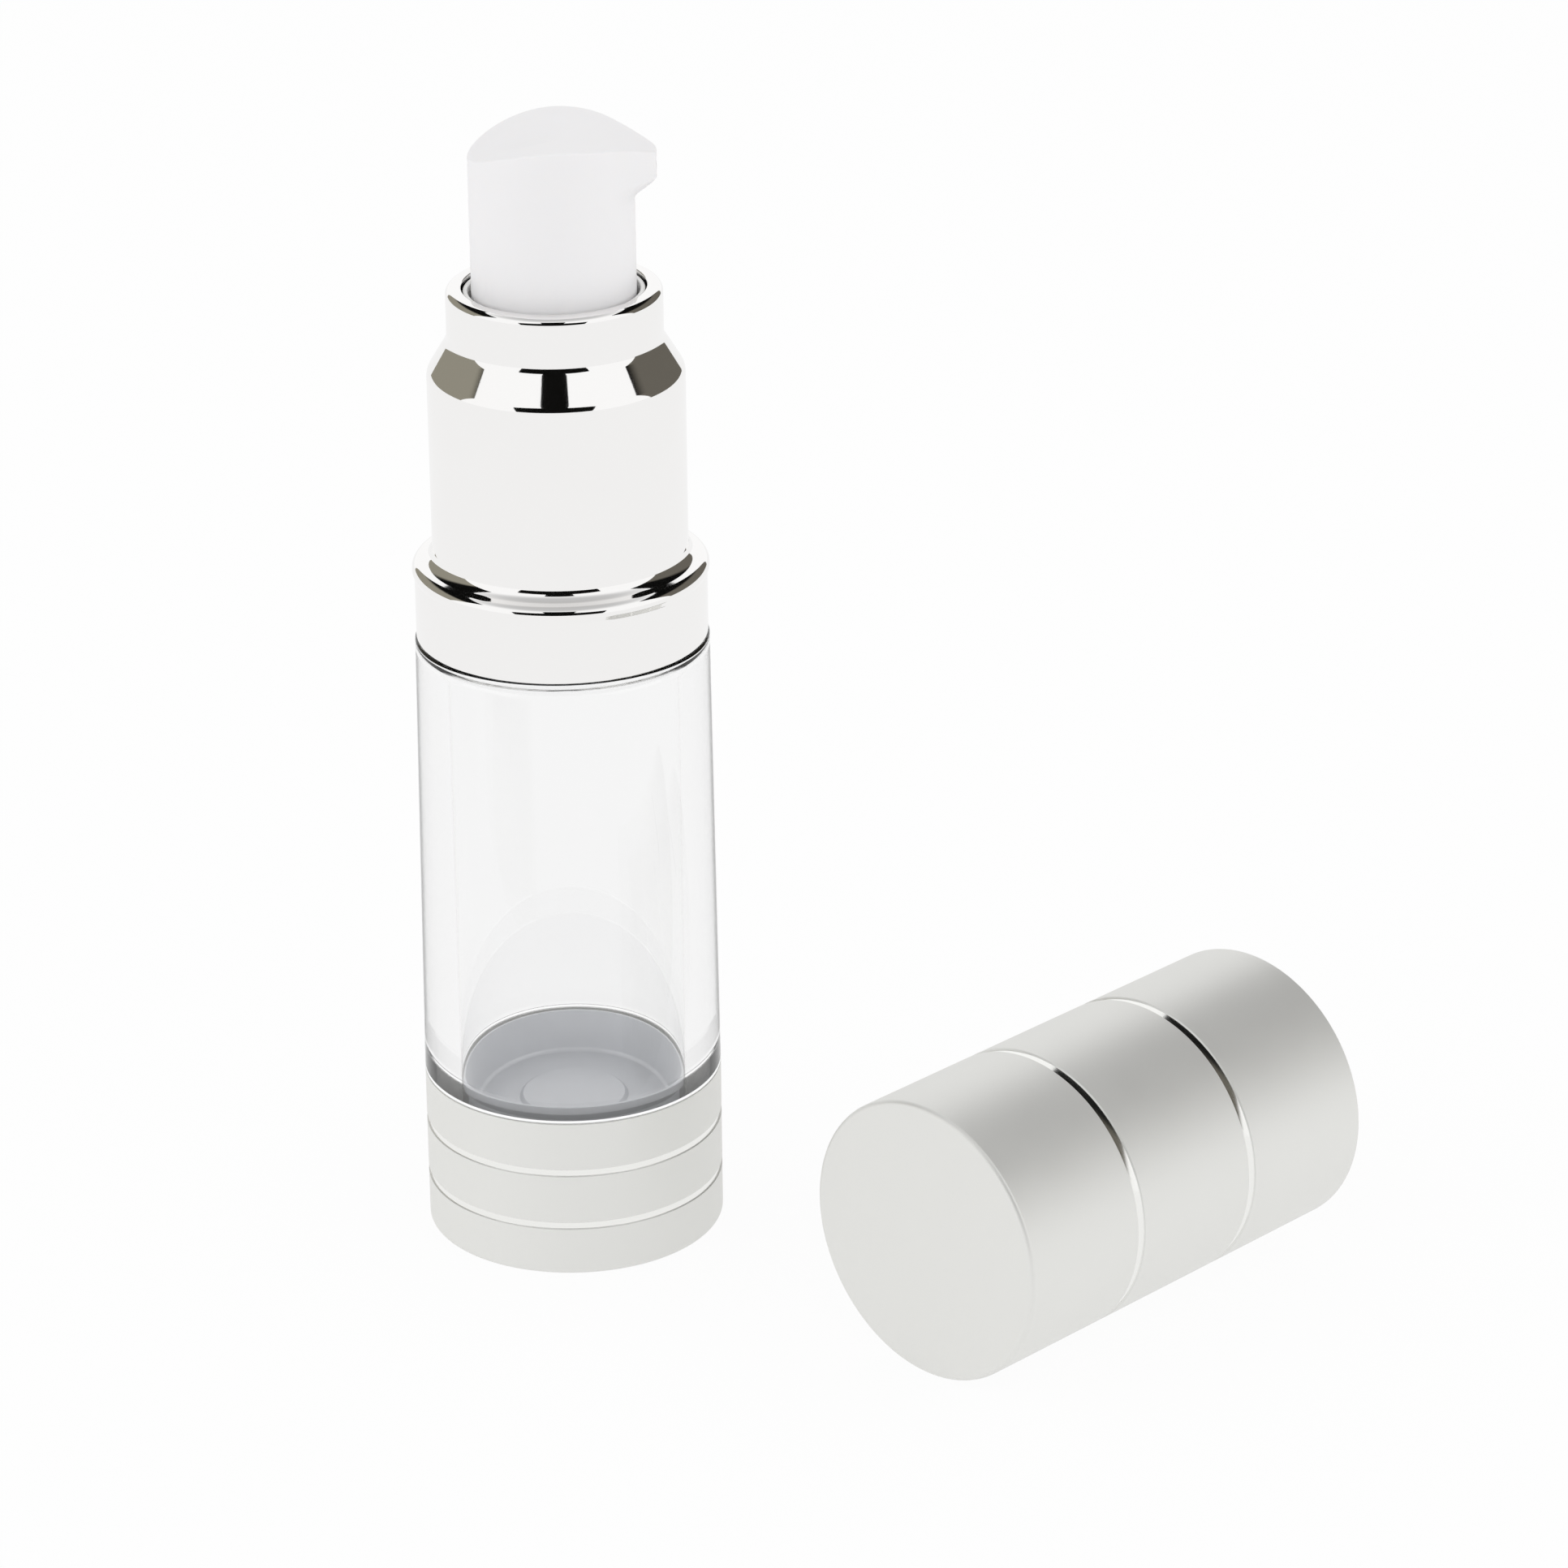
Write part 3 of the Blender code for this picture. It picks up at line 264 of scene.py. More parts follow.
class TravelBottle(bpy.types.PropertyGroup):
    """All settings of the bottle."""

    base: PointerProperty(type=BaseSizes)
    body: PointerProperty(type=BodySizes)
    collar: PointerProperty(type=CollarSizes)
    insert: PointerProperty(type=InsertSizes)
    head: PointerProperty(type=HeadSizes)
    cap: PointerProperty(type=CapSizes)
    colours: PointerProperty(type=Colours)
    stage: PointerProperty(type=StageSettings)


def add_node(tree, kind, inputs=None, **settings):
    """Adds a shader node with its settings. An input takes a value or another node's output."""
    node = tree.nodes.new("ShaderNode" + kind)
    for key, value in settings.items():
        setattr(node, key, value)
    for key, value in (inputs or {}).items():
        if isinstance(value, bpy.types.NodeSocket):
            tree.links.new(value, node.inputs[key])
        else:
            node.inputs[key].default_value = value
    return node


def emptied(block):
    """The node tree of a material or world, with nothing in it yet."""
    block.use_nodes = True
    block.node_tree.nodes.clear()
    return block.node_tree


def finish(name, tint, spread, patch, roughness, grain, relief, lines=0, **sockets):
    """Slow patches of colour and roughness, with a fine grain and tool lines as a bump.

    Patch, grain, relief and the distance of the lines are in millimetres. The other values are
    set straight on the shader.
    """
    material = bpy.data.materials.get(name) or bpy.data.materials.new(name)
    tree = emptied(material)
    inputs = {key.replace("_", " "): value for key, value in sockets.items()}
    shader = add_node(tree, "BsdfPrincipled", inputs)
    add_node(tree, "OutputMaterial", {"Surface": shader.outputs["BSDF"]})
    place = add_node(tree, "TexCoord").outputs["Object"]
    slow = add_node(tree, "TexNoise", {"Vector": place, "Scale": 1 / (patch * MM), "Detail": 3.0})
    low = [c * (1 - spread) for c in tint]
    patches = add_node(
        tree, "Mix", {0: slow.outputs["Fac"], 6: (*low, 1), 7: (*tint, 1)}, data_type="RGBA"
    )
    tree.links.new(patches.outputs[2], shader.inputs["Base Color"])
    span = {"Value": slow.outputs["Fac"], "To Min": roughness[0], "To Max": roughness[1]}
    rough = add_node(tree, "MapRange", span)
    tree.links.new(rough.outputs["Result"], shader.inputs["Roughness"])
    fine = add_node(tree, "TexNoise", {"Vector": place, "Scale": 1 / (grain * MM), "Detail": 2.0})
    bump = add_node(tree, "Bump", {"Height": fine.outputs["Fac"], "Distance": relief * MM})
    if lines:
        turns = {"Vector": place, "Scale": 1 / (lines * MM * math.tau), "Distortion": 0.2}
        wave = add_node(tree, "TexWave", turns, bands_direction="Z").outputs["Fac"]
        cut_in = {"Height": wave, "Distance": 0.0005 * MM, "Normal": bump.outputs["Normal"]}
        bump = add_node(tree, "Bump", cut_in)
    tree.links.new(bump.outputs["Normal"], shader.inputs["Normal"])
    return material


def satin_aluminium(colours):
    """Bead-blasted, silver-anodised aluminium: a soft white sheen with a very fine grain."""
    # The blast grit is about 0.05 mm; it is drawn at 0.16 mm so that it shows at all.
    rough = (0.48, 0.54)
    name = "satin_anodised_aluminium"
    return finish(name, colours.satin, 0.025, 6, rough, 0.16, 0.004, Metallic=0.72)


def cut_aluminium(colours):
    """Groove turned with a diamond tool through the matte skin: bare metal with turning lines."""
    # Tool lines 0.05 mm apart run round the axis of the piece.
    rough = (0.10, 0.16)
    name = "diamond_cut_aluminium"
    return finish(name, colours.cut, 0.01, 3, rough, 0.2, 0.001, lines=0.05, Metallic=1.0)


def bright_aluminium(colours):
    """Polished and clear-anodised aluminium: a mirror with a trace of haze and wiping marks."""
    rough = (0.035, 0.065)
    name = "polished_anodised_aluminium"
    return finish(name, colours.bright, 0.01, 5, rough, 0.8, 0.0006, Metallic=1.0)


def clear_acrylic(colours):
    """Injection-moulded acrylic, water clear, with the faintest unevenness in its gloss."""
    sockets = {"Transmission_Weight": 1.0, "IOR": 1.49}
    return finish("clear_acrylic", colours.clear, 0.01, 8, (0.0, 0.02), 6, 0.002, **sockets)


def white_polypropylene(colours):
    """Injection-moulded polypropylene: milky white, half matte, with light seeping in."""
    # Spark-eroded mould texture of about 0.1 mm, drawn at 0.2 mm.
    sockets = {"IOR": 1.49, "Subsurface_Weight": 0.15, "Subsurface_Scale": 0.6 * MM}
    sockets["Subsurface_Radius"] = (1.0, 0.9, 0.8)
    rough = (0.40, 0.48)
    return finish("white_polypropylene", colours.white, 0.012, 5, rough, 0.2, 0.004, **sockets)


def lining_polypropylene(colours):
    """Smoother white polypropylene of the hidden linings, with more gloss than the head."""
    rough = (0.30, 0.38)
    return finish("lining_polypropylene", colours.lining, 0.012, 5, rough, 0.5, 0.003, IOR=1.49)


def follower_polyethylene(colours):
    """Polyethylene filled with silver pigment: a grey with a soft metallic gleam."""
    # Flow marks of the pigment are about 1 mm wide.
    sockets = {"Metallic": 0.15, "IOR": 1.51}
    rough = (0.26, 0.36)
    return finish("silver_polyethylene", colours.follower, 0.08, 1.2, rough, 0.25, 0.003, **sockets)


def natural_polyethylene(colours):
    """Unpigmented polyethylene: cloudy white and waxy."""
    sockets = {"IOR": 1.51, "Subsurface_Weight": 0.3, "Subsurface_Scale": 1.0 * MM}
    rough = (0.34, 0.42)
    return finish("natural_polyethylene", colours.natural, 0.02, 3, rough, 0.4, 0.004, **sockets)


def foam_gasket(colours):
    """Closed-cell foam gasket: soft grey with pores."""
    return finish("polyethylene_foam", colours.gasket, 0.06, 1, (0.62, 0.75), 0.15, 0.02, IOR=1.5)


def stainless_steel(colours):
    """Drawn stainless wire and ground balls: a clean, slightly brushed grey metal."""
    rough = (0.18, 0.28)
    return finish("stainless_steel", colours.steel, 0.05, 0.8, rough, 0.1, 0.001, Metallic=1.0)


def rounded(corners):
    """Outline points from (radius, height, rounding) corners, each rounding drawn as an arc."""
    points = []
    for i, (radius, height, fillet) in enumerate(corners):
        corner = Vector((radius, height))
        before = Vector(corners[i - 1][:2]) - corner
        after = Vector(corners[(i + 1) % len(corners)][:2]) - corner
        if not fillet:
            points.append(tuple(corner))
            continue
        half = before.angle(after) / 2
        inward = (before.normalized() + after.normalized()).normalized()
        centre = corner + inward * fillet / math.sin(half)
        start = corner + before.normalized() * fillet / math.tan(half) - centre
        turn = math.pi - 2 * half
        if start.x * inward.y < start.y * inward.x:
            turn = -turn
        steps = max(2, math.ceil(abs(turn) / ARC_STEP))
        for k in range(steps + 1):
            angle = math.atan2(start.y, start.x) - turn * k / steps
            x, y = fillet * math.cos(angle), fillet * math.sin(angle)
            points.append((centre.x + x, centre.y + y))
    return points


def turned_mesh(name, outline, closed=True, steps=AROUND):
    """A mesh turned round Z from its (radius, height) outline, which runs down its outer side."""
    shape = bmesh.new()
    ring = [shape.verts.new((radius, 0, height)) for radius, height in outline]
    pairs = zip(ring, ring[1:] + ring[:1] if closed else ring[1:])
    edges = [shape.edges.new(pair) for pair in pairs]
    turn = {"cent": (0, 0, 0), "axis": (0, 0, 1), "angle": math.tau, "use_merge": True}
    bmesh.ops.spin(shape, geom=ring + edges, steps=steps, **turn)
    return mesh_from(shape, name)


def mesh_from(shape, name):
    """Writes a welded bmesh to a new mesh, with its faces outwards."""
    bmesh.ops.remove_doubles(shape, verts=shape.verts, dist=HAIR)
    bmesh.ops.recalc_face_normals(shape, faces=shape.faces)
    mesh = bpy.data.meshes.new(name)
    shape.to_mesh(mesh)
    shape.free()
    return mesh


def rod_mesh(name, radius, low, high):
    """A plain rod along Z, used as a cutter."""
    outline = [(0, high), (radius, high), (radius, low), (0, low)]
    return turned_mesh(name, outline, closed=False, steps=CUT_AROUND)


def thread_mesh(name, wall, depth, start, pitch, turns):
    """A screw thread whose ridge leaves the wall and sinks back. A depth below 0 goes inwards."""
    steps = round(turns * THREAD_STEPS)
    root = wall - ROOT_SUNK * depth
    shape = bmesh.new()
    rings = []
    for i in range(steps + 1):
        angle, height = math.tau * turns * i / steps, start + pitch * turns * i / steps
        share = min(1, i / RUN_OUT, (steps - i) / RUN_OUT)
        crest = wall - CREST_SUNK * depth + (1 + CREST_SUNK) * depth * share
        section = [(root, -ROOT_HALF), (crest, -CREST_HALF), (crest, CREST_HALF), (root, ROOT_HALF)]
        out = Vector((math.cos(angle), math.sin(angle), 0))
        points = [out * r + Vector((0, 0, height + z * pitch)) for r, z in section]
        rings.append([shape.verts.new(point) for point in points])
    for one, two in zip(rings, rings[1:]):
        for k in range(len(one)):
            shape.faces.new((one[k], one[k - 1], two[k - 1], two[k]))
    shape.faces.new(rings[0])
    shape.faces.new(rings[-1][::-1])
    return mesh_from(shape, name)


def new_piece(name, mesh, materials, place=None):
    """Links a named piece, or renews it, shaded smooth with crisp corners."""
    old = bpy.data.objects.get(name)
    if old:
        bpy.data.objects.remove(old, do_unlink=True)
    piece = bpy.data.objects.new(name, mesh)
    for material in materials:
        mesh.materials.append(material)
    mesh.shade_smooth()
    mesh.set_sharp_from_angle(angle=SHARP)
    if place:
        piece.matrix_world = place
    bpy.context.scene.collection.objects.link(piece)
    even = piece.modifiers.new("Even shading", "WEIGHTED_NORMAL")
    even.keep_sharp = True
    return piece


def cut(mesh, other, operation="DIFFERENCE"):
    """The mesh after one exact cut or join with another mesh."""
    piece = bpy.data.objects.new("work", mesh)
    helper = bpy.data.objects.new("helper", other)
    for obj in (piece, helper):
        bpy.context.scene.collection.objects.link(obj)
    step = piece.modifiers.new("Cut", "BOOLEAN")
    step.operation, step.object, step.solver = operation, helper, "EXACT"
    graph = bpy.context.evaluated_depsgraph_get()
    made = bpy.data.meshes.new_from_object(piece.evaluated_get(graph))
    made.name = mesh.name
    for obj in (piece, helper):
        bpy.data.objects.remove(obj, do_unlink=True)
    if not made.polygons:
        raise RuntimeError(f"{made.name} has no faces after its cut")
    return made


def settle(name, mesh, materials, body, node, place=None):
    """A piece that rides on its body, takes the given materials and stands for its CAD node, which
    it hides.
    """
    piece = new_piece(name, mesh, materials, place)
    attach(piece, body)
    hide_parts(node)
    return piece


def dress(material, *nodes):
    """Gives CAD nodes that stay in view a procedural material."""
    for name in nodes:
        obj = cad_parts[name]
        if not obj.material_slots:
            obj.data.materials.append(material)
        for slot in obj.material_slots:
            slot.material = material


def groove(radius, height, width, depth):
    """Corners of a cut groove, top to bottom."""
    flat, lip = width * GROOVE_FLOOR / 2, depth / 4
    return [
        (radius, height + width / 2, lip),
        (radius - depth, height + flat, lip),
        (radius - depth, height - flat, lip),
        (radius, height - width / 2, lip),
    ]


def paint_grooves(mesh, radius, heights, width, depth):
    """Gives the floors of the cut grooves the second material."""
    low, high = FLOOR_DEPTHS
    for face in mesh.polygons:
        x, y, z = face.center
        floor = low * depth < radius - math.hypot(x, y) < high * depth
        if floor and any(abs(z - height) < width / 2 for height in heights):
            face.material_index = 1


PLUG_GAP = 0.3 * MM  # between the plug's skirt and the bore
DISH_WALL = 1.0 * MM  # under the follower's dish


def make_cup(sizes, colours):
    """Drawn cup with two bright grooves and an air hole in its floor."""
    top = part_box("base_cup")[1]
    inner = top.x - sizes.cup_wall
    heights = (sizes.upper_groove, sizes.lower_groove)
    lip = sizes.seam
    corners = [(0, sizes.cup_floor, 0), (inner, sizes.cup_floor, sizes.cup_edge)]
    corners += [(inner, top.z, lip), (top.x, top.z, lip)]
    for height in heights:
        corners += groove(top.x, height, sizes.groove_width, sizes.groove_depth)
    corners += [(top.x, 0, sizes.cup_edge), (0, 0, 0)]
    mesh = turned_mesh("base_cup_satin", rounded(corners), closed=False)
    vent = rod_mesh("vent", sizes.vent_radius, -PAST, sizes.cup_floor + PAST)
    vent.transform(Matrix.Translation((sizes.vent_offset, 0, 0)))
    mesh = cut(mesh, vent)
    paint_grooves(mesh, top.x, heights, sizes.groove_width, sizes.groove_depth)
    finishes = [satin_aluminium(colours), cut_aluminium(colours)]
    settle("base_cup_satin", mesh, finishes, "bottle", "base_cup")


def make_plug(sizes, body, colours):
    """Plug that closes the chamber's lower end."""
    low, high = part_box("base_plug")
    flange_top = low.z + sizes.plug_flange
    skirt = body.bore - PLUG_GAP
    inner = skirt - sizes.plug_skirt_wall
    lip = sizes.plug_flange / 5
    corners = [(skirt, high.z, lip), (skirt, flange_top, 0), (body.step_radius, flange_top, lip)]
    corners += [(body.step_radius, low.z, lip), (sizes.plug_flange, low.z, lip)]
    corners += [(sizes.plug_flange, flange_top, lip), (inner, flange_top, lip)]
    corners += [(inner, high.z, lip)]
    mesh = turned_mesh("base_plug_moulded", rounded(corners))
    white = [white_polypropylene(colours)]
    settle("base_plug_moulded", mesh, white, "bottle", "base_plug")


def make_follower(sizes, colours):
    """Follower piston: a grey dish with a sealing lip at its top and foot."""
    low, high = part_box("follower_piston")
    radius, lip = high.x, sizes.follower_lip
    waist = radius - sizes.follower_waist
    inner = waist - sizes.follower_wall
    floor = low.z + sizes.follower_floor
    boss, step = sizes.boss_radius, sizes.boss_height
    under = floor - DISH_WALL
    fine = step / 2
    corners = [(0, floor + step, 0), (boss, floor + step, fine), (boss + step, floor, fine)]
    thin = sizes.follower_edge
    corners += [(inner, floor, 3 * fine), (radius - thin, high.z, thin / 3)]
    corners += [(radius, high.z, thin / 3), (radius, high.z - lip, fine)]
    corners += [(waist, high.z - 2 * lip, fine), (waist, low.z + 2 * lip, fine)]
    corners += [(radius, low.z + lip, fine), (radius, low.z, fine / 2)]
    corners += [(inner, low.z, fine), (inner, under, fine), (0, under, 0)]
    mesh = turned_mesh("follower_dish", rounded(corners), closed=False)
    grey = [follower_polyethylene(colours)]
    settle("follower_dish", mesh, grey, "follower", "follower_piston")


class TRAVELBOTTLE_OT_base(bpy.types.Operator):
    """Builds the satin base cup with its cut grooves, the base plug and the follower piston"""

    bl_idname = "travel_bottle.base"
    bl_label = "Base"

    def execute(self, context):
        bottle = context.scene.travel_bottle
        make_cup(bottle.base, bottle.colours)
        make_plug(bottle.base, bottle.body, bottle.colours)
        make_follower(bottle.base, bottle.colours)
        return {"FINISHED"}


class TRAVELBOTTLE_OT_body(bpy.types.Operator):
    """Builds the clear body with the thread on its neck"""

    bl_idname = "travel_bottle.body"
    bl_label = "Clear body"

    def execute(self, context):
        bottle = context.scene.travel_bottle
        sizes = bottle.body
        low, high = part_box("bottle_body")
        edge = sizes.edge
        roof = sizes.shoulder - sizes.shoulder_wall
        corners = [(sizes.neck, high.z, edge), (sizes.neck, sizes.shoulder, edge)]
        corners += [(sizes.top_radius, sizes.shoulder, edge), (high.x, sizes.step_height, edge / 6)]
        corners += [(sizes.step_radius, sizes.step_height, edge / 3)]
        corners += [(sizes.step_radius, low.z, edge)]
        corners += [(sizes.bore, low.z, edge), (sizes.bore, roof, 4 * edge)]
        corners += [(sizes.neck_bore, roof + sizes.bore - sizes.neck_bore, 2 * edge)]
        corners += [(sizes.neck_bore, high.z, edge)]
        mesh = turned_mesh("clear_body", rounded(corners))
        pitch, turns = sizes.thread_pitch, sizes.thread_turns
        start = high.z - sizes.thread_top - turns * pitch
        ridge = thread_mesh("ridge", sizes.neck, sizes.thread_depth, start, pitch, turns)
        mesh = cut(mesh, ridge, "UNION")
        clear = [clear_acrylic(bottle.colours)]
        piece = settle("clear_body", mesh, clear, "bottle", "bottle_body")
        # Light reaches what is inside the clear wall as in a real one, without bright flecks.
        piece.visible_shadow = False
        piece.visible_diffuse = False
        return {"FINISHED"}


THREAD_LIFT = 0.6 * MM  # from the insert's foot to its thread


def make_insert(sizes, body, colours):
    """Threaded insert, whose sleeve shows as a white ring round the press head."""
    low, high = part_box("collar_insert")
    lip = sizes.web_wall / 8
    web_top, ledge = sizes.web + sizes.web_wall, sizes.guide_foot - sizes.web_wall
    corners = [(sizes.guide, high.z, lip), (sizes.guide, sizes.guide_foot, lip)]
    corners += [(sizes.radius, sizes.guide_foot, lip), (sizes.radius, sizes.taper_top, 4 * lip)]
    corners += [(sizes.skirt, sizes.taper_foot, 4 * lip), (sizes.skirt, low.z, lip)]
    corners += [(sizes.thread_root, low.z, lip), (sizes.thread_root, sizes.seat, 0)]
    corners += [(sizes.pocket, sizes.seat, 0), (sizes.pocket, sizes.web, 0)]
    corners += [(sizes.web_hole, sizes.web, lip), (sizes.web_hole, web_top, lip)]
    corners += [(sizes.pocket, web_top, lip), (sizes.pocket, ledge, lip)]
    corners += [(sizes.guide_bore, ledge, lip), (sizes.guide_bore, high.z, lip)]
    mesh = turned_mesh("threaded_insert", rounded(corners))
    start, pitch, turns = low.z + THREAD_LIFT, body.thread_pitch, body.thread_turns
    ridge = thread_mesh("ridge", sizes.thread_root, -body.thread_depth, start, pitch, turns)
    # Turned so that it runs half a pitch under the neck's thread.
    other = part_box("bottle_body")[1].z - body.thread_top - (turns + 0.5) * pitch
    ridge.transform(Matrix.Rotation(math.tau * (start - other) / pitch, 4, "Z"))
    mesh = cut(mesh, ridge, "UNION")
    white = [lining_polypropylene(colours)]
    settle("threaded_insert", mesh, white, "collar", "collar_insert")


def collar_outline(sizes):
    """Outer face from the hole down to the band's foot, then the inner face back up."""
    low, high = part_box("collar_shell")
    wall, crease, edge = sizes.wall, sizes.crease, sizes.bead_edge
    lip, foot = wall / 4, low.z - sizes.foot_drop
    cone = math.atan2(sizes.neck - sizes.ring, sizes.ring_foot - sizes.cone_foot)
    slope = math.atan2(sizes.bead_radius - sizes.neck, sizes.neck_foot - sizes.bead_top)
    cone_set, slope_set = wall * math.tan(cone / 2), wall * math.tan(slope / 2)
    outer = [(sizes.hole, high.z, lip), (sizes.ring, high.z, sizes.ring_edge)]
    outer += [(sizes.ring, sizes.ring_foot, crease), (sizes.neck, sizes.cone_foot, crease)]
    outer += [(sizes.neck, sizes.neck_foot, sizes.neck_fillet)]
    outer += [(sizes.bead_radius, sizes.bead_top, sizes.bead_round)]
    outer += [(sizes.bead_radius, sizes.bead_side, edge), (sizes.band, sizes.band_top, edge)]
    outer += [(sizes.band, foot, lip)]
    inner = [(sizes.band - wall, foot, lip), (sizes.band - wall, sizes.band_top, 0)]
    inner += [(sizes.bead_radius - wall, sizes.bead_side, 0)]
    inner += [(sizes.bead_radius - wall, sizes.bead_top - slope_set, sizes.bead_round - wall)]
    inner += [(sizes.neck - wall, sizes.neck_foot - slope_set, sizes.neck_fillet + wall)]
    inner += [(sizes.neck - wall, sizes.cone_foot - cone_set, 0)]
    inner += [(sizes.ring - wall, sizes.ring_foot - cone_set, 0)]
    inner += [(sizes.ring - wall, high.z - wall, lip), (sizes.hole, high.z - wall, lip)]
    return outer + inner


class TRAVELBOTTLE_OT_collar(bpy.types.Operator):
    """Builds the bright collar shell and finishes the threaded insert in it"""

    bl_idname = "travel_bottle.collar"
    bl_label = "Collar"

    def execute(self, context):
        bottle = context.scene.travel_bottle
        mesh = turned_mesh("bright_collar", rounded(collar_outline(bottle.collar)))
        bright = [bright_aluminium(bottle.colours)]
        settle("bright_collar", mesh, bright, "collar", "collar_shell")
        make_insert(bottle.insert, bottle.body, bottle.colours)
        return {"FINISHED"}


class TRAVELBOTTLE_OT_pump(bpy.types.Operator):
    """Finishes the pump's inner parts"""

    bl_idname = "travel_bottle.pump"
    bl_label = "Pump"

    def execute(self, context):
        colours = context.scene.travel_bottle.colours
        white = white_polypropylene(colours)
        dress(white, "pump_housing", "housing_closure", "inlet_cage", "plunger_rod", "stem")
        dress(natural_polyethylene(colours), "pump_piston")
        dress(foam_gasket(colours), "neck_gasket")
        dress(stainless_steel(colours), "return_spring", "inlet_ball", "outlet_ball")
        return {"FINISHED"}


BEAK_ANGLE = math.radians(-45)
FLANK_ANGLE = math.radians(45)
BEAK_STRAIGHT = 0.45  # how straight the beak's underside slopes, from 0 to 1
FOOT_ROUND = 0.7  # rounding of the foot, as a share of the top edge's
FOOT_STEPS, BEAK_STEPS, EDGE_STEPS, CROWN_STEPS = 3, 14, 6, 26
ABOVE_FOOT, BELOW_ROOT = (4 * MM, 9 * MM), (2 * MM, 0.5 * MM)  # rings on the plain side


def plan_radius(sizes, angle):
    """Radius of the head's top outline: round, with two flanks that run to a cut-off tip."""
    away = abs(math.remainder(angle, math.tau))
    if away >= FLANK_ANGLE:
        return sizes.radius
    flank = sizes.radius / math.cos(FLANK_ANGLE - away)
    tip = sizes.beak_reach / math.cos(away)
    corner = sizes.corner
    return -corner * math.log(math.exp(-flank / corner) + math.exp(-tip / corner))


def top_height(sizes, x, y):
    """Height of the arched top, with the thumb dish pressed into it."""
    half = (sizes.beak_reach + sizes.radius) / 2
    share = (x - sizes.beak_reach + half) / half
    end = sizes.rim if share < 0 else sizes.beak_top
    away = math.hypot(x + sizes.dish_offset, y) / sizes.dish_radius
    dish = sizes.dish_depth * max(0, 1 - away**2) ** 1.5
    return sizes.vault_top - (sizes.vault_top - end) * share**2 - dish


def side_ring(sizes, height, inset=0):
    """(angle, radius) of the head's side at a height, where the beak's underside draws it in."""
    share = (height - sizes.beak_root) / (sizes.beak_foot - sizes.beak_root)
    share = min(1, max(0, share))
    straight = BEAK_STRAIGHT
    share = straight * share + (1 - straight) * share * share * (3 - 2 * share)
    ring = []
    for i in range(AROUND):
        angle = math.tau * i / AROUND
        reach = plan_radius(sizes, angle) - sizes.radius
        ring.append((angle, sizes.radius + reach * share - inset))
    return ring


def outer_mesh(sizes, foot):
    """The closed outer form of the head, beak along +X."""
    rings = []
    soft, root = sizes.edge * FOOT_ROUND, sizes.beak_root
    for k in range(FOOT_STEPS + 1):
        lean = math.pi / 2 * k / FOOT_STEPS
        height = foot + soft * (1 - math.sin(lean))
        rings.append(flat_ring(sizes, height, soft * (1 - math.cos(lean))))
    rings.reverse()
    heights = [foot + rise for rise in ABOVE_FOOT] + [root - drop for drop in BELOW_ROOT]
    for k in range(BEAK_STEPS + 1):
        heights.append(root + k / BEAK_STEPS * (sizes.beak_foot - root))
    rings += [flat_ring(sizes, height, 0) for height in heights]
    rings += crown_rings(sizes)
    return skin_mesh(rings, top_height(sizes, 0, 0), foot)


def flat_ring(sizes, height, inset):
    """Points of the head's side at a height."""
    ring = side_ring(sizes, height, inset)
    return [(r * math.cos(a), r * math.sin(a), height) for a, r in ring]


def crown_rings(sizes):
    """Rings from the side's upper end, round its edge and over the arched top."""
    outline = side_ring(sizes, sizes.beak_foot)
    edge = sizes.edge
    rings = []
    for lift in (0.5, 1.0):
        rings.append([below_top(sizes, a, r, 0, edge, lift) for a, r in outline])
    for k in range(1, EDGE_STEPS + 1):
        lean = math.pi / 2 * k / EDGE_STEPS
        inset, drop = edge * (1 - math.cos(lean)), edge * (1 - math.sin(lean))
        rings.append([below_top(sizes, a, r, inset, drop, 1) for a, r in outline])
    for share in [1 - k / CROWN_STEPS for k in range(1, CROWN_STEPS)]:
        rings.append([below_top(sizes, a, (r - edge) * share, 0, 0, 1) for a, r in outline])
    return rings


def below_top(sizes, angle, radius, inset, drop, lift):
    """A point under the arched top, a share of the way up from the beak's underside."""
    x, y = (radius - inset) * math.cos(angle), (radius - inset) * math.sin(angle)
    top = top_height(sizes, x, y) - drop
    return (x, y, sizes.beak_foot + (top - sizes.beak_foot) * lift)


def skin_mesh(rings, crown, foot):
    """Faces between the rings, closed by a point on the crown and a flat foot."""
    shape = bmesh.new()
    rows = [[shape.verts.new(point) for point in ring] for ring in rings]
    for low, high in zip(rows, rows[1:]):
        for i in range(AROUND):
            shape.faces.new((low[i - 1], low[i], high[i], high[i - 1]))
    peak, base = shape.verts.new((0, 0, crown)), shape.verts.new((0, 0, foot))
    for i in range(AROUND):
        shape.faces.new((rows[-1][i - 1], rows[-1][i], peak))
        shape.faces.new((rows[0][i], rows[0][i - 1], base))
    return mesh_from(shape, "press_head")


def hollow_mesh(sizes, foot):
    """The ring-shaped hollow under the head, round its socket."""
    inner, socket = sizes.radius - sizes.wall, sizes.socket + sizes.socket_wall
    soft = sizes.edge
    corners = [(inner, sizes.cavity_top, 2 * soft), (inner, foot - PAST, 0), (0, foot - PAST, 0)]
    corners += [(0, sizes.socket_foot, 0), (socket, sizes.socket_foot, soft / 2)]
    corners += [(socket, sizes.cavity_top, 2 * soft)]
    return turned_mesh("hollow", rounded(corners))


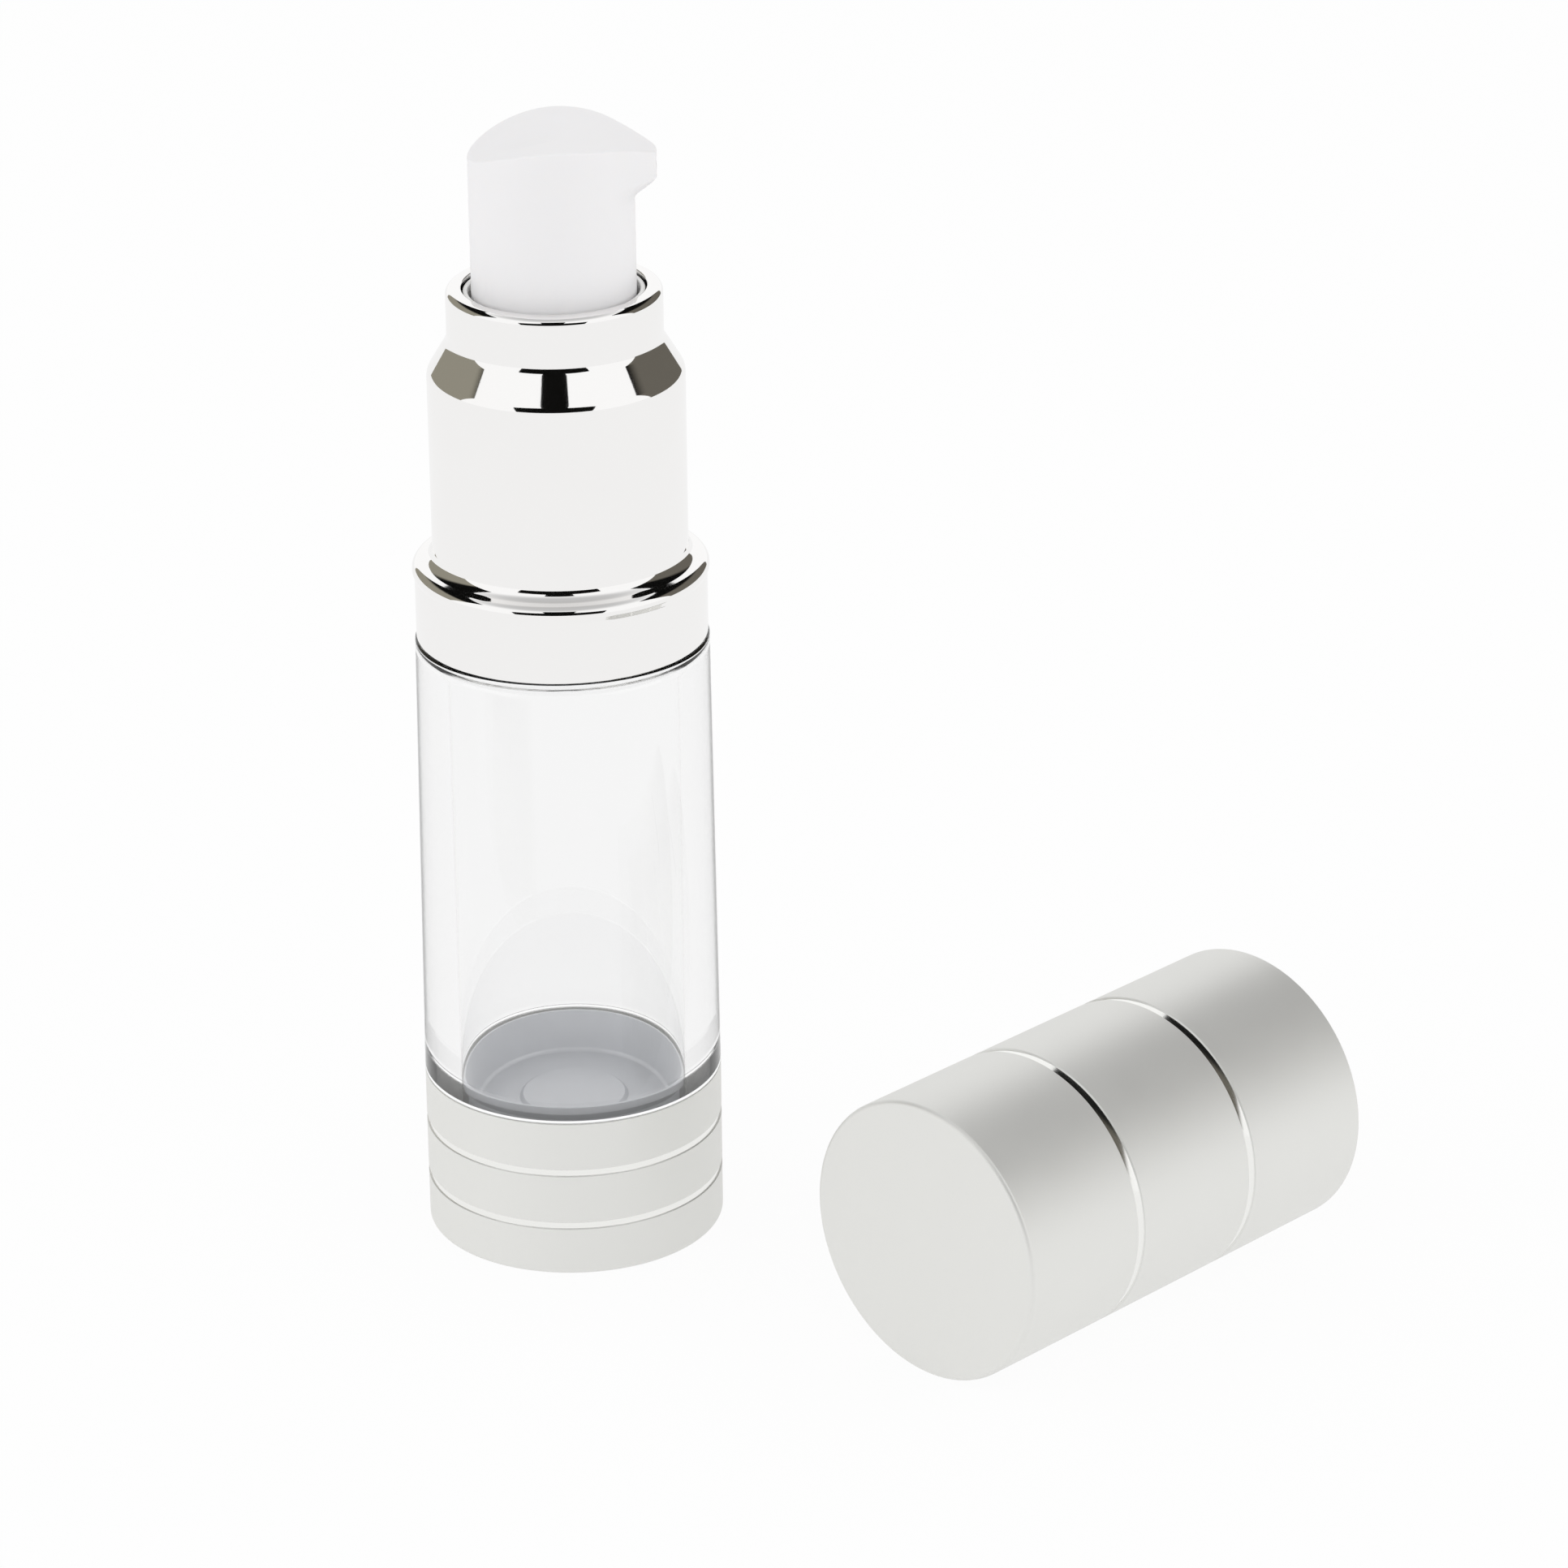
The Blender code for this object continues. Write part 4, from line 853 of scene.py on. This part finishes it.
def bore_meshes(sizes):
    """Socket on the stem, channel up beside the axis and channel out of the beak."""
    socket = rod_mesh("socket", sizes.socket, sizes.socket_foot - PAST, sizes.socket_top)
    riser = rod_mesh("riser", sizes.channel, sizes.socket_top - PAST / 2, sizes.channel_height)
    riser.transform(Matrix.Translation((sizes.channel_offset, 0, 0)))
    outlet = rod_mesh("outlet", sizes.channel, 0, sizes.beak_reach + PAST)
    lie = Matrix.Translation((0, 0, sizes.channel_height)) @ Matrix.Rotation(math.pi / 2, 4, "Y")
    outlet.transform(lie)
    return [socket, riser, outlet]


class TRAVELBOTTLE_OT_head(bpy.types.Operator):
    """Builds the white press head with its arched top, beak, thumb dish, socket and channel"""

    bl_idname = "travel_bottle.head"
    bl_label = "Press head"

    def execute(self, context):
        bottle = context.scene.travel_bottle
        sizes = bottle.head
        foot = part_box("actuator")[0].z
        mesh = cut(outer_mesh(sizes, foot), hollow_mesh(sizes, foot))
        for bore in bore_meshes(sizes):
            mesh = cut(mesh, bore)
        mesh.transform(Matrix.Rotation(BEAK_ANGLE, 4, "Z"))
        white = [white_polypropylene(bottle.colours)]
        settle("press_head", mesh, white, "head", "actuator")
        return {"FINISHED"}


def make_shell(sizes, colours, long, radius, place):
    """Drawn shell, upright in its own axes with the mouth at the foot."""
    inner = radius - sizes.wall
    lip = sizes.wall / 5
    heights = (long - sizes.first_groove, long - sizes.second_groove)
    corners = [(0, long, 0), (radius, long, sizes.edge)]
    for height in heights:
        corners += groove(radius, height, sizes.groove_width, sizes.groove_depth)
    corners += [(radius, 0, lip), (inner, 0, lip)]
    corners += [(inner, long - sizes.wall, sizes.edge), (0, long - sizes.wall, 0)]
    mesh = turned_mesh("cap_satin", rounded(corners), closed=False)
    paint_grooves(mesh, radius, heights, sizes.groove_width, sizes.groove_depth)
    finishes = [satin_aluminium(colours), cut_aluminium(colours)]
    settle("cap_satin", mesh, finishes, "cap", "cap_shell", place)


def make_liner(sizes, colours, mouth, place):
    """White liner pressed into the shell."""
    low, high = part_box("cap_liner")
    foot, top, radius = mouth - high.x, mouth - low.x, (high.z - low.z) / 2
    lip = sizes.wall / 3
    corners = [(0, top, 0), (radius, top, lip), (radius, foot, lip), (sizes.liner_bore, foot, lip)]
    corners += [(sizes.liner_bore, top - sizes.liner_end, 2 * lip), (0, top - sizes.liner_end, 0)]
    mesh = turned_mesh("cap_lining", rounded(corners), closed=False)
    white = [lining_polypropylene(colours)]
    settle("cap_lining", mesh, white, "cap", "cap_liner", place)


class TRAVELBOTTLE_OT_cap(bpy.types.Operator):
    """Builds the satin cap with its cut grooves and its white liner, lying on its side"""

    bl_idname = "travel_bottle.cap"
    bl_label = "Cap"

    def execute(self, context):
        bottle = context.scene.travel_bottle
        low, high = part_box("cap_shell")
        middle = (low + high) / 2
        lie = Matrix.Rotation(-math.pi / 2, 4, "Y")
        place = Matrix.Translation((high.x, middle.y, middle.z)) @ lie
        make_shell(bottle.cap, bottle.colours, high.x - low.x, (high.z - low.z) / 2, place)
        make_liner(bottle.cap, bottle.colours, high.x, place)
        return {"FINISHED"}


CAMERA_PLACE = Vector((-0.32234, -0.34890, 0.24455))
CAMERA_AIM = Vector((0.6497, 0.6497, -0.3947))
CAMERA_ROLL = math.radians(-0.54)
CAMERA_LENS, SENSOR_WIDTH = 137.4, 36  # in millimetres, as Blender takes them
MIDDLE = Vector((0, 0, 0.045))
FLOOR_RADIUS, PAPER_WHITE = 4, 0.9
ROOF_FADE = (0.7, 0.98)  # between these heights of a unit vector the roof gets dimmer
LAMPS = {"lamp_left": (-115, 28), "lamp_right": (25, 28)}  # azimuth and elevation
LAMP_SIZE, LAMP_DISTANCE = (0.9, 0.7), 0.9
# Colour of the lower half, azimuth and elevation in degrees, and width and height in metres
CARDS = {
    "card_by_camera": ("card", (-45, 19.5), (0.66, 0.26)),
    "card_over_camera": ("card", (-45, 42), (0.18, 0.15)),
    "card_left": ("left_card", (-162, 29), (0.60, 0.49)),
    "card_right": ("right_card", (75, 27), (0.62, 0.53)),
}
CARD_DISTANCE, CARD_FADE = 0.5, (0.55, 0.7)


def seen_directly(tree):
    """1 for rays from the camera, from a mirror and through glass, and 0 for diffuse light."""
    path = add_node(tree, "LightPath").outputs
    seen = path["Is Camera Ray"]
    for name in ("Is Glossy Ray", "Is Transmission Ray"):
        seen = add_node(tree, "Math", {0: seen, 1: path[name]}, operation="MAXIMUM").outputs[0]
    return seen


def make_floor(stage):
    """White sheet that reads white to the eye and still takes the object's shadow."""
    shape = bmesh.new()
    bmesh.ops.create_circle(shape, cap_ends=True, segments=64, radius=FLOOR_RADIUS)
    piece = new_piece("studio_floor", mesh_from(shape, "studio_floor"), [])
    material = bpy.data.materials.new("white_paper")
    tree = emptied(material)
    tint = (*[PAPER_WHITE] * 3, 1)
    paper = add_node(tree, "BsdfDiffuse", {"Color": tint}).outputs[0]
    glossy = add_node(tree, "LightPath").outputs["Is Glossy Ray"]
    mirrored = {0: glossy, 2: 1.0, 3: stage.floor_mirrored}
    strength = add_node(tree, "Mix", mirrored, data_type="FLOAT").outputs[0]
    glow = add_node(tree, "Emission", {"Color": (1, 1, 1, 1), "Strength": strength}).outputs[0]
    glows = {0: seen_directly(tree), 1: stage.floor_glow}
    share = add_node(tree, "Math", glows, operation="MULTIPLY")
    both = add_node(tree, "MixShader", {0: share.outputs[0], 1: paper, 2: glow})
    add_node(tree, "OutputMaterial", {"Surface": both.outputs[0]})
    piece.data.materials.append(material)


def make_world(scene, stage):
    """White tent with a dimmer roof; a plain white background to the camera."""
    world = bpy.data.worlds.new("white_tent")
    scene.world = world
    tree = emptied(world)
    direction = add_node(tree, "TexCoord").outputs["Generated"]
    height = add_node(tree, "SeparateXYZ", {"Vector": direction}).outputs["Z"]
    low, high = ROOF_FADE
    fade = {"Value": height, "From Min": low, "From Max": high, "To Max": stage.roof}
    fade["To Min"] = 1.0
    tent = add_node(tree, "MapRange", fade, interpolation_type="SMOOTHSTEP").outputs["Result"]
    path = add_node(tree, "LightPath").outputs
    straight = {0: path["Is Camera Ray"], 1: path["Is Transmission Ray"]}
    plain = add_node(tree, "Math", straight, operation="MAXIMUM")
    diffuse = {0: path["Is Diffuse Ray"], 2: 1.0, 3: stage.tent}
    level_now = add_node(tree, "Mix", diffuse, data_type="FLOAT")
    lit = add_node(tree, "Math", {0: tent, 1: level_now.outputs[0]}, operation="MULTIPLY")
    shares = {0: plain.outputs[0], 2: lit.outputs[0], 3: 1.0}
    strength = add_node(tree, "Mix", shares, data_type="FLOAT")
    shade = {"Color": (1, 1, 1, 1), "Strength": strength.outputs[0]}
    background = add_node(tree, "Background", shade)
    add_node(tree, "OutputWorld", {"Surface": background.outputs[0]})


def studio_direction(azimuth, elevation):
    """Unit vector from the object to a place in the studio, by its angles in degrees."""
    a, e = math.radians(azimuth), math.radians(elevation)
    return Vector((math.sin(a) * math.cos(e), -math.cos(a) * math.cos(e), math.sin(e)))


def face_object(obj, azimuth, elevation, distance):
    """Puts a lamp or card at its angles and turns it to the object."""
    obj.location = MIDDLE + studio_direction(azimuth, elevation) * distance
    obj.rotation_euler = (MIDDLE - obj.location).to_track_quat("-Z", "Y").to_euler()


def make_lamp(name, angles, power):
    """Soft lamp that shiny surfaces don't see."""
    lamp = bpy.data.lights.new(name, "AREA")
    lamp.shape, lamp.energy = "RECTANGLE", power
    lamp.size, lamp.size_y = LAMP_SIZE
    obj = bpy.data.objects.new(name, lamp)
    bpy.context.scene.collection.objects.link(obj)
    face_object(obj, *angles, LAMP_DISTANCE)
    obj.visible_glossy = False


def make_card(name, lower, upper, angles, size):
    """Dark card that only shiny surfaces see, with a tint for its lower and its upper half."""
    shape = bmesh.new()
    bmesh.ops.create_grid(shape, x_segments=1, y_segments=1, size=0.5)
    bmesh.ops.scale(shape, vec=(*size, 1), verts=shape.verts)
    material = bpy.data.materials.new(name)
    tree = emptied(material)
    place = add_node(tree, "TexCoord").outputs["Generated"]
    height = add_node(tree, "SeparateXYZ", {"Vector": place}).outputs["Y"]
    low, high = CARD_FADE
    fade = {"Value": height, "From Min": low, "From Max": high}
    share = add_node(tree, "MapRange", fade, interpolation_type="SMOOTHSTEP").outputs["Result"]
    tints = {0: share, 6: (*lower, 1), 7: (*upper, 1)}
    tint = add_node(tree, "Mix", tints, data_type="RGBA").outputs[2]
    glow = add_node(tree, "Emission", {"Color": tint, "Strength": 1.0})
    add_node(tree, "OutputMaterial", {"Surface": glow.outputs[0]})
    piece = new_piece(name, mesh_from(shape, name), [material])
    face_object(piece, *angles, CARD_DISTANCE)
    for ray in ("camera", "diffuse", "transmission", "shadow", "volume_scatter"):
        setattr(piece, "visible_" + ray, False)


def make_camera(scene):
    """Camera at the photograph's angle, rolled by a trace as the photograph is."""
    camera = bpy.data.objects.new("camera", bpy.data.cameras.new("camera"))
    scene.collection.objects.link(camera)
    forward = CAMERA_AIM.normalized()
    right = forward.cross(Vector((0, 0, 1))).normalized()
    up = right.cross(forward)
    turn, lean = math.cos(CAMERA_ROLL), math.sin(CAMERA_ROLL)
    across, over = right * turn + up * lean, up * turn - right * lean
    turned = Matrix((across, over, -forward)).transposed().to_4x4()
    camera.matrix_world = Matrix.Translation(CAMERA_PLACE) @ turned
    camera.data.lens, camera.data.sensor_width = CAMERA_LENS, SENSOR_WIDTH
    camera.data.clip_start, camera.data.clip_end = 0.01, 20
    scene.camera = camera


class TRAVELBOTTLE_OT_stage(bpy.types.Operator):
    """Builds the white floor, the soft light, the dark cards and the camera"""

    bl_idname = "travel_bottle.stage"
    bl_label = "Stage"

    def execute(self, context):
        stage = context.scene.travel_bottle.stage
        make_floor(stage)
        make_world(context.scene, stage)
        for name, angles in LAMPS.items():
            make_lamp(name, angles, stage.side_lamp)
        for name, (lower, angles, size) in CARDS.items():
            make_card(name, getattr(stage, lower), stage.card, angles, size)
        make_camera(context.scene)
        context.scene.view_settings.view_transform = "Standard"
        return {"FINISHED"}


OPERATORS = (
    TRAVELBOTTLE_OT_base,
    TRAVELBOTTLE_OT_body,
    TRAVELBOTTLE_OT_collar,
    TRAVELBOTTLE_OT_pump,
    TRAVELBOTTLE_OT_head,
    TRAVELBOTTLE_OT_cap,
    TRAVELBOTTLE_OT_stage,
)


class TRAVELBOTTLE_PT_panel(bpy.types.Panel):
    """Sizes, colours and building steps of the bottle"""

    bl_idname = "TRAVELBOTTLE_PT_panel"
    bl_label = "Travel bottle"
    bl_space_type = "VIEW_3D"
    bl_region_type = "UI"
    bl_category = "Travel bottle"

    def draw(self, context):
        for operator in OPERATORS:
            self.layout.operator(operator.bl_idname)
        for group in TravelBottle.__annotations__:
            settings = getattr(context.scene.travel_bottle, group)
            box = self.layout.box()
            box.label(text=group.capitalize())
            for name in settings.__annotations__:
                box.prop(settings, name)


GROUPS = (BaseSizes, BodySizes, CollarSizes, InsertSizes, HeadSizes, CapSizes)
GROUPS += (Colours, StageSettings, TravelBottle)


def register():
    for kind in (*GROUPS, *OPERATORS, TRAVELBOTTLE_PT_panel):
        bpy.utils.register_class(kind)
    bpy.types.Scene.travel_bottle = PointerProperty(type=TravelBottle)


def unregister():
    del bpy.types.Scene.travel_bottle
    for kind in reversed((*GROUPS, *OPERATORS, TRAVELBOTTLE_PT_panel)):
        bpy.utils.unregister_class(kind)


def main():
    """Registers the settings, operators and panel, then builds everything in order."""
    register()
    for operator in OPERATORS:
        group, name = operator.bl_idname.split(".")
        getattr(getattr(bpy.ops, group), name)()


if __name__ == "__main__":
    main()
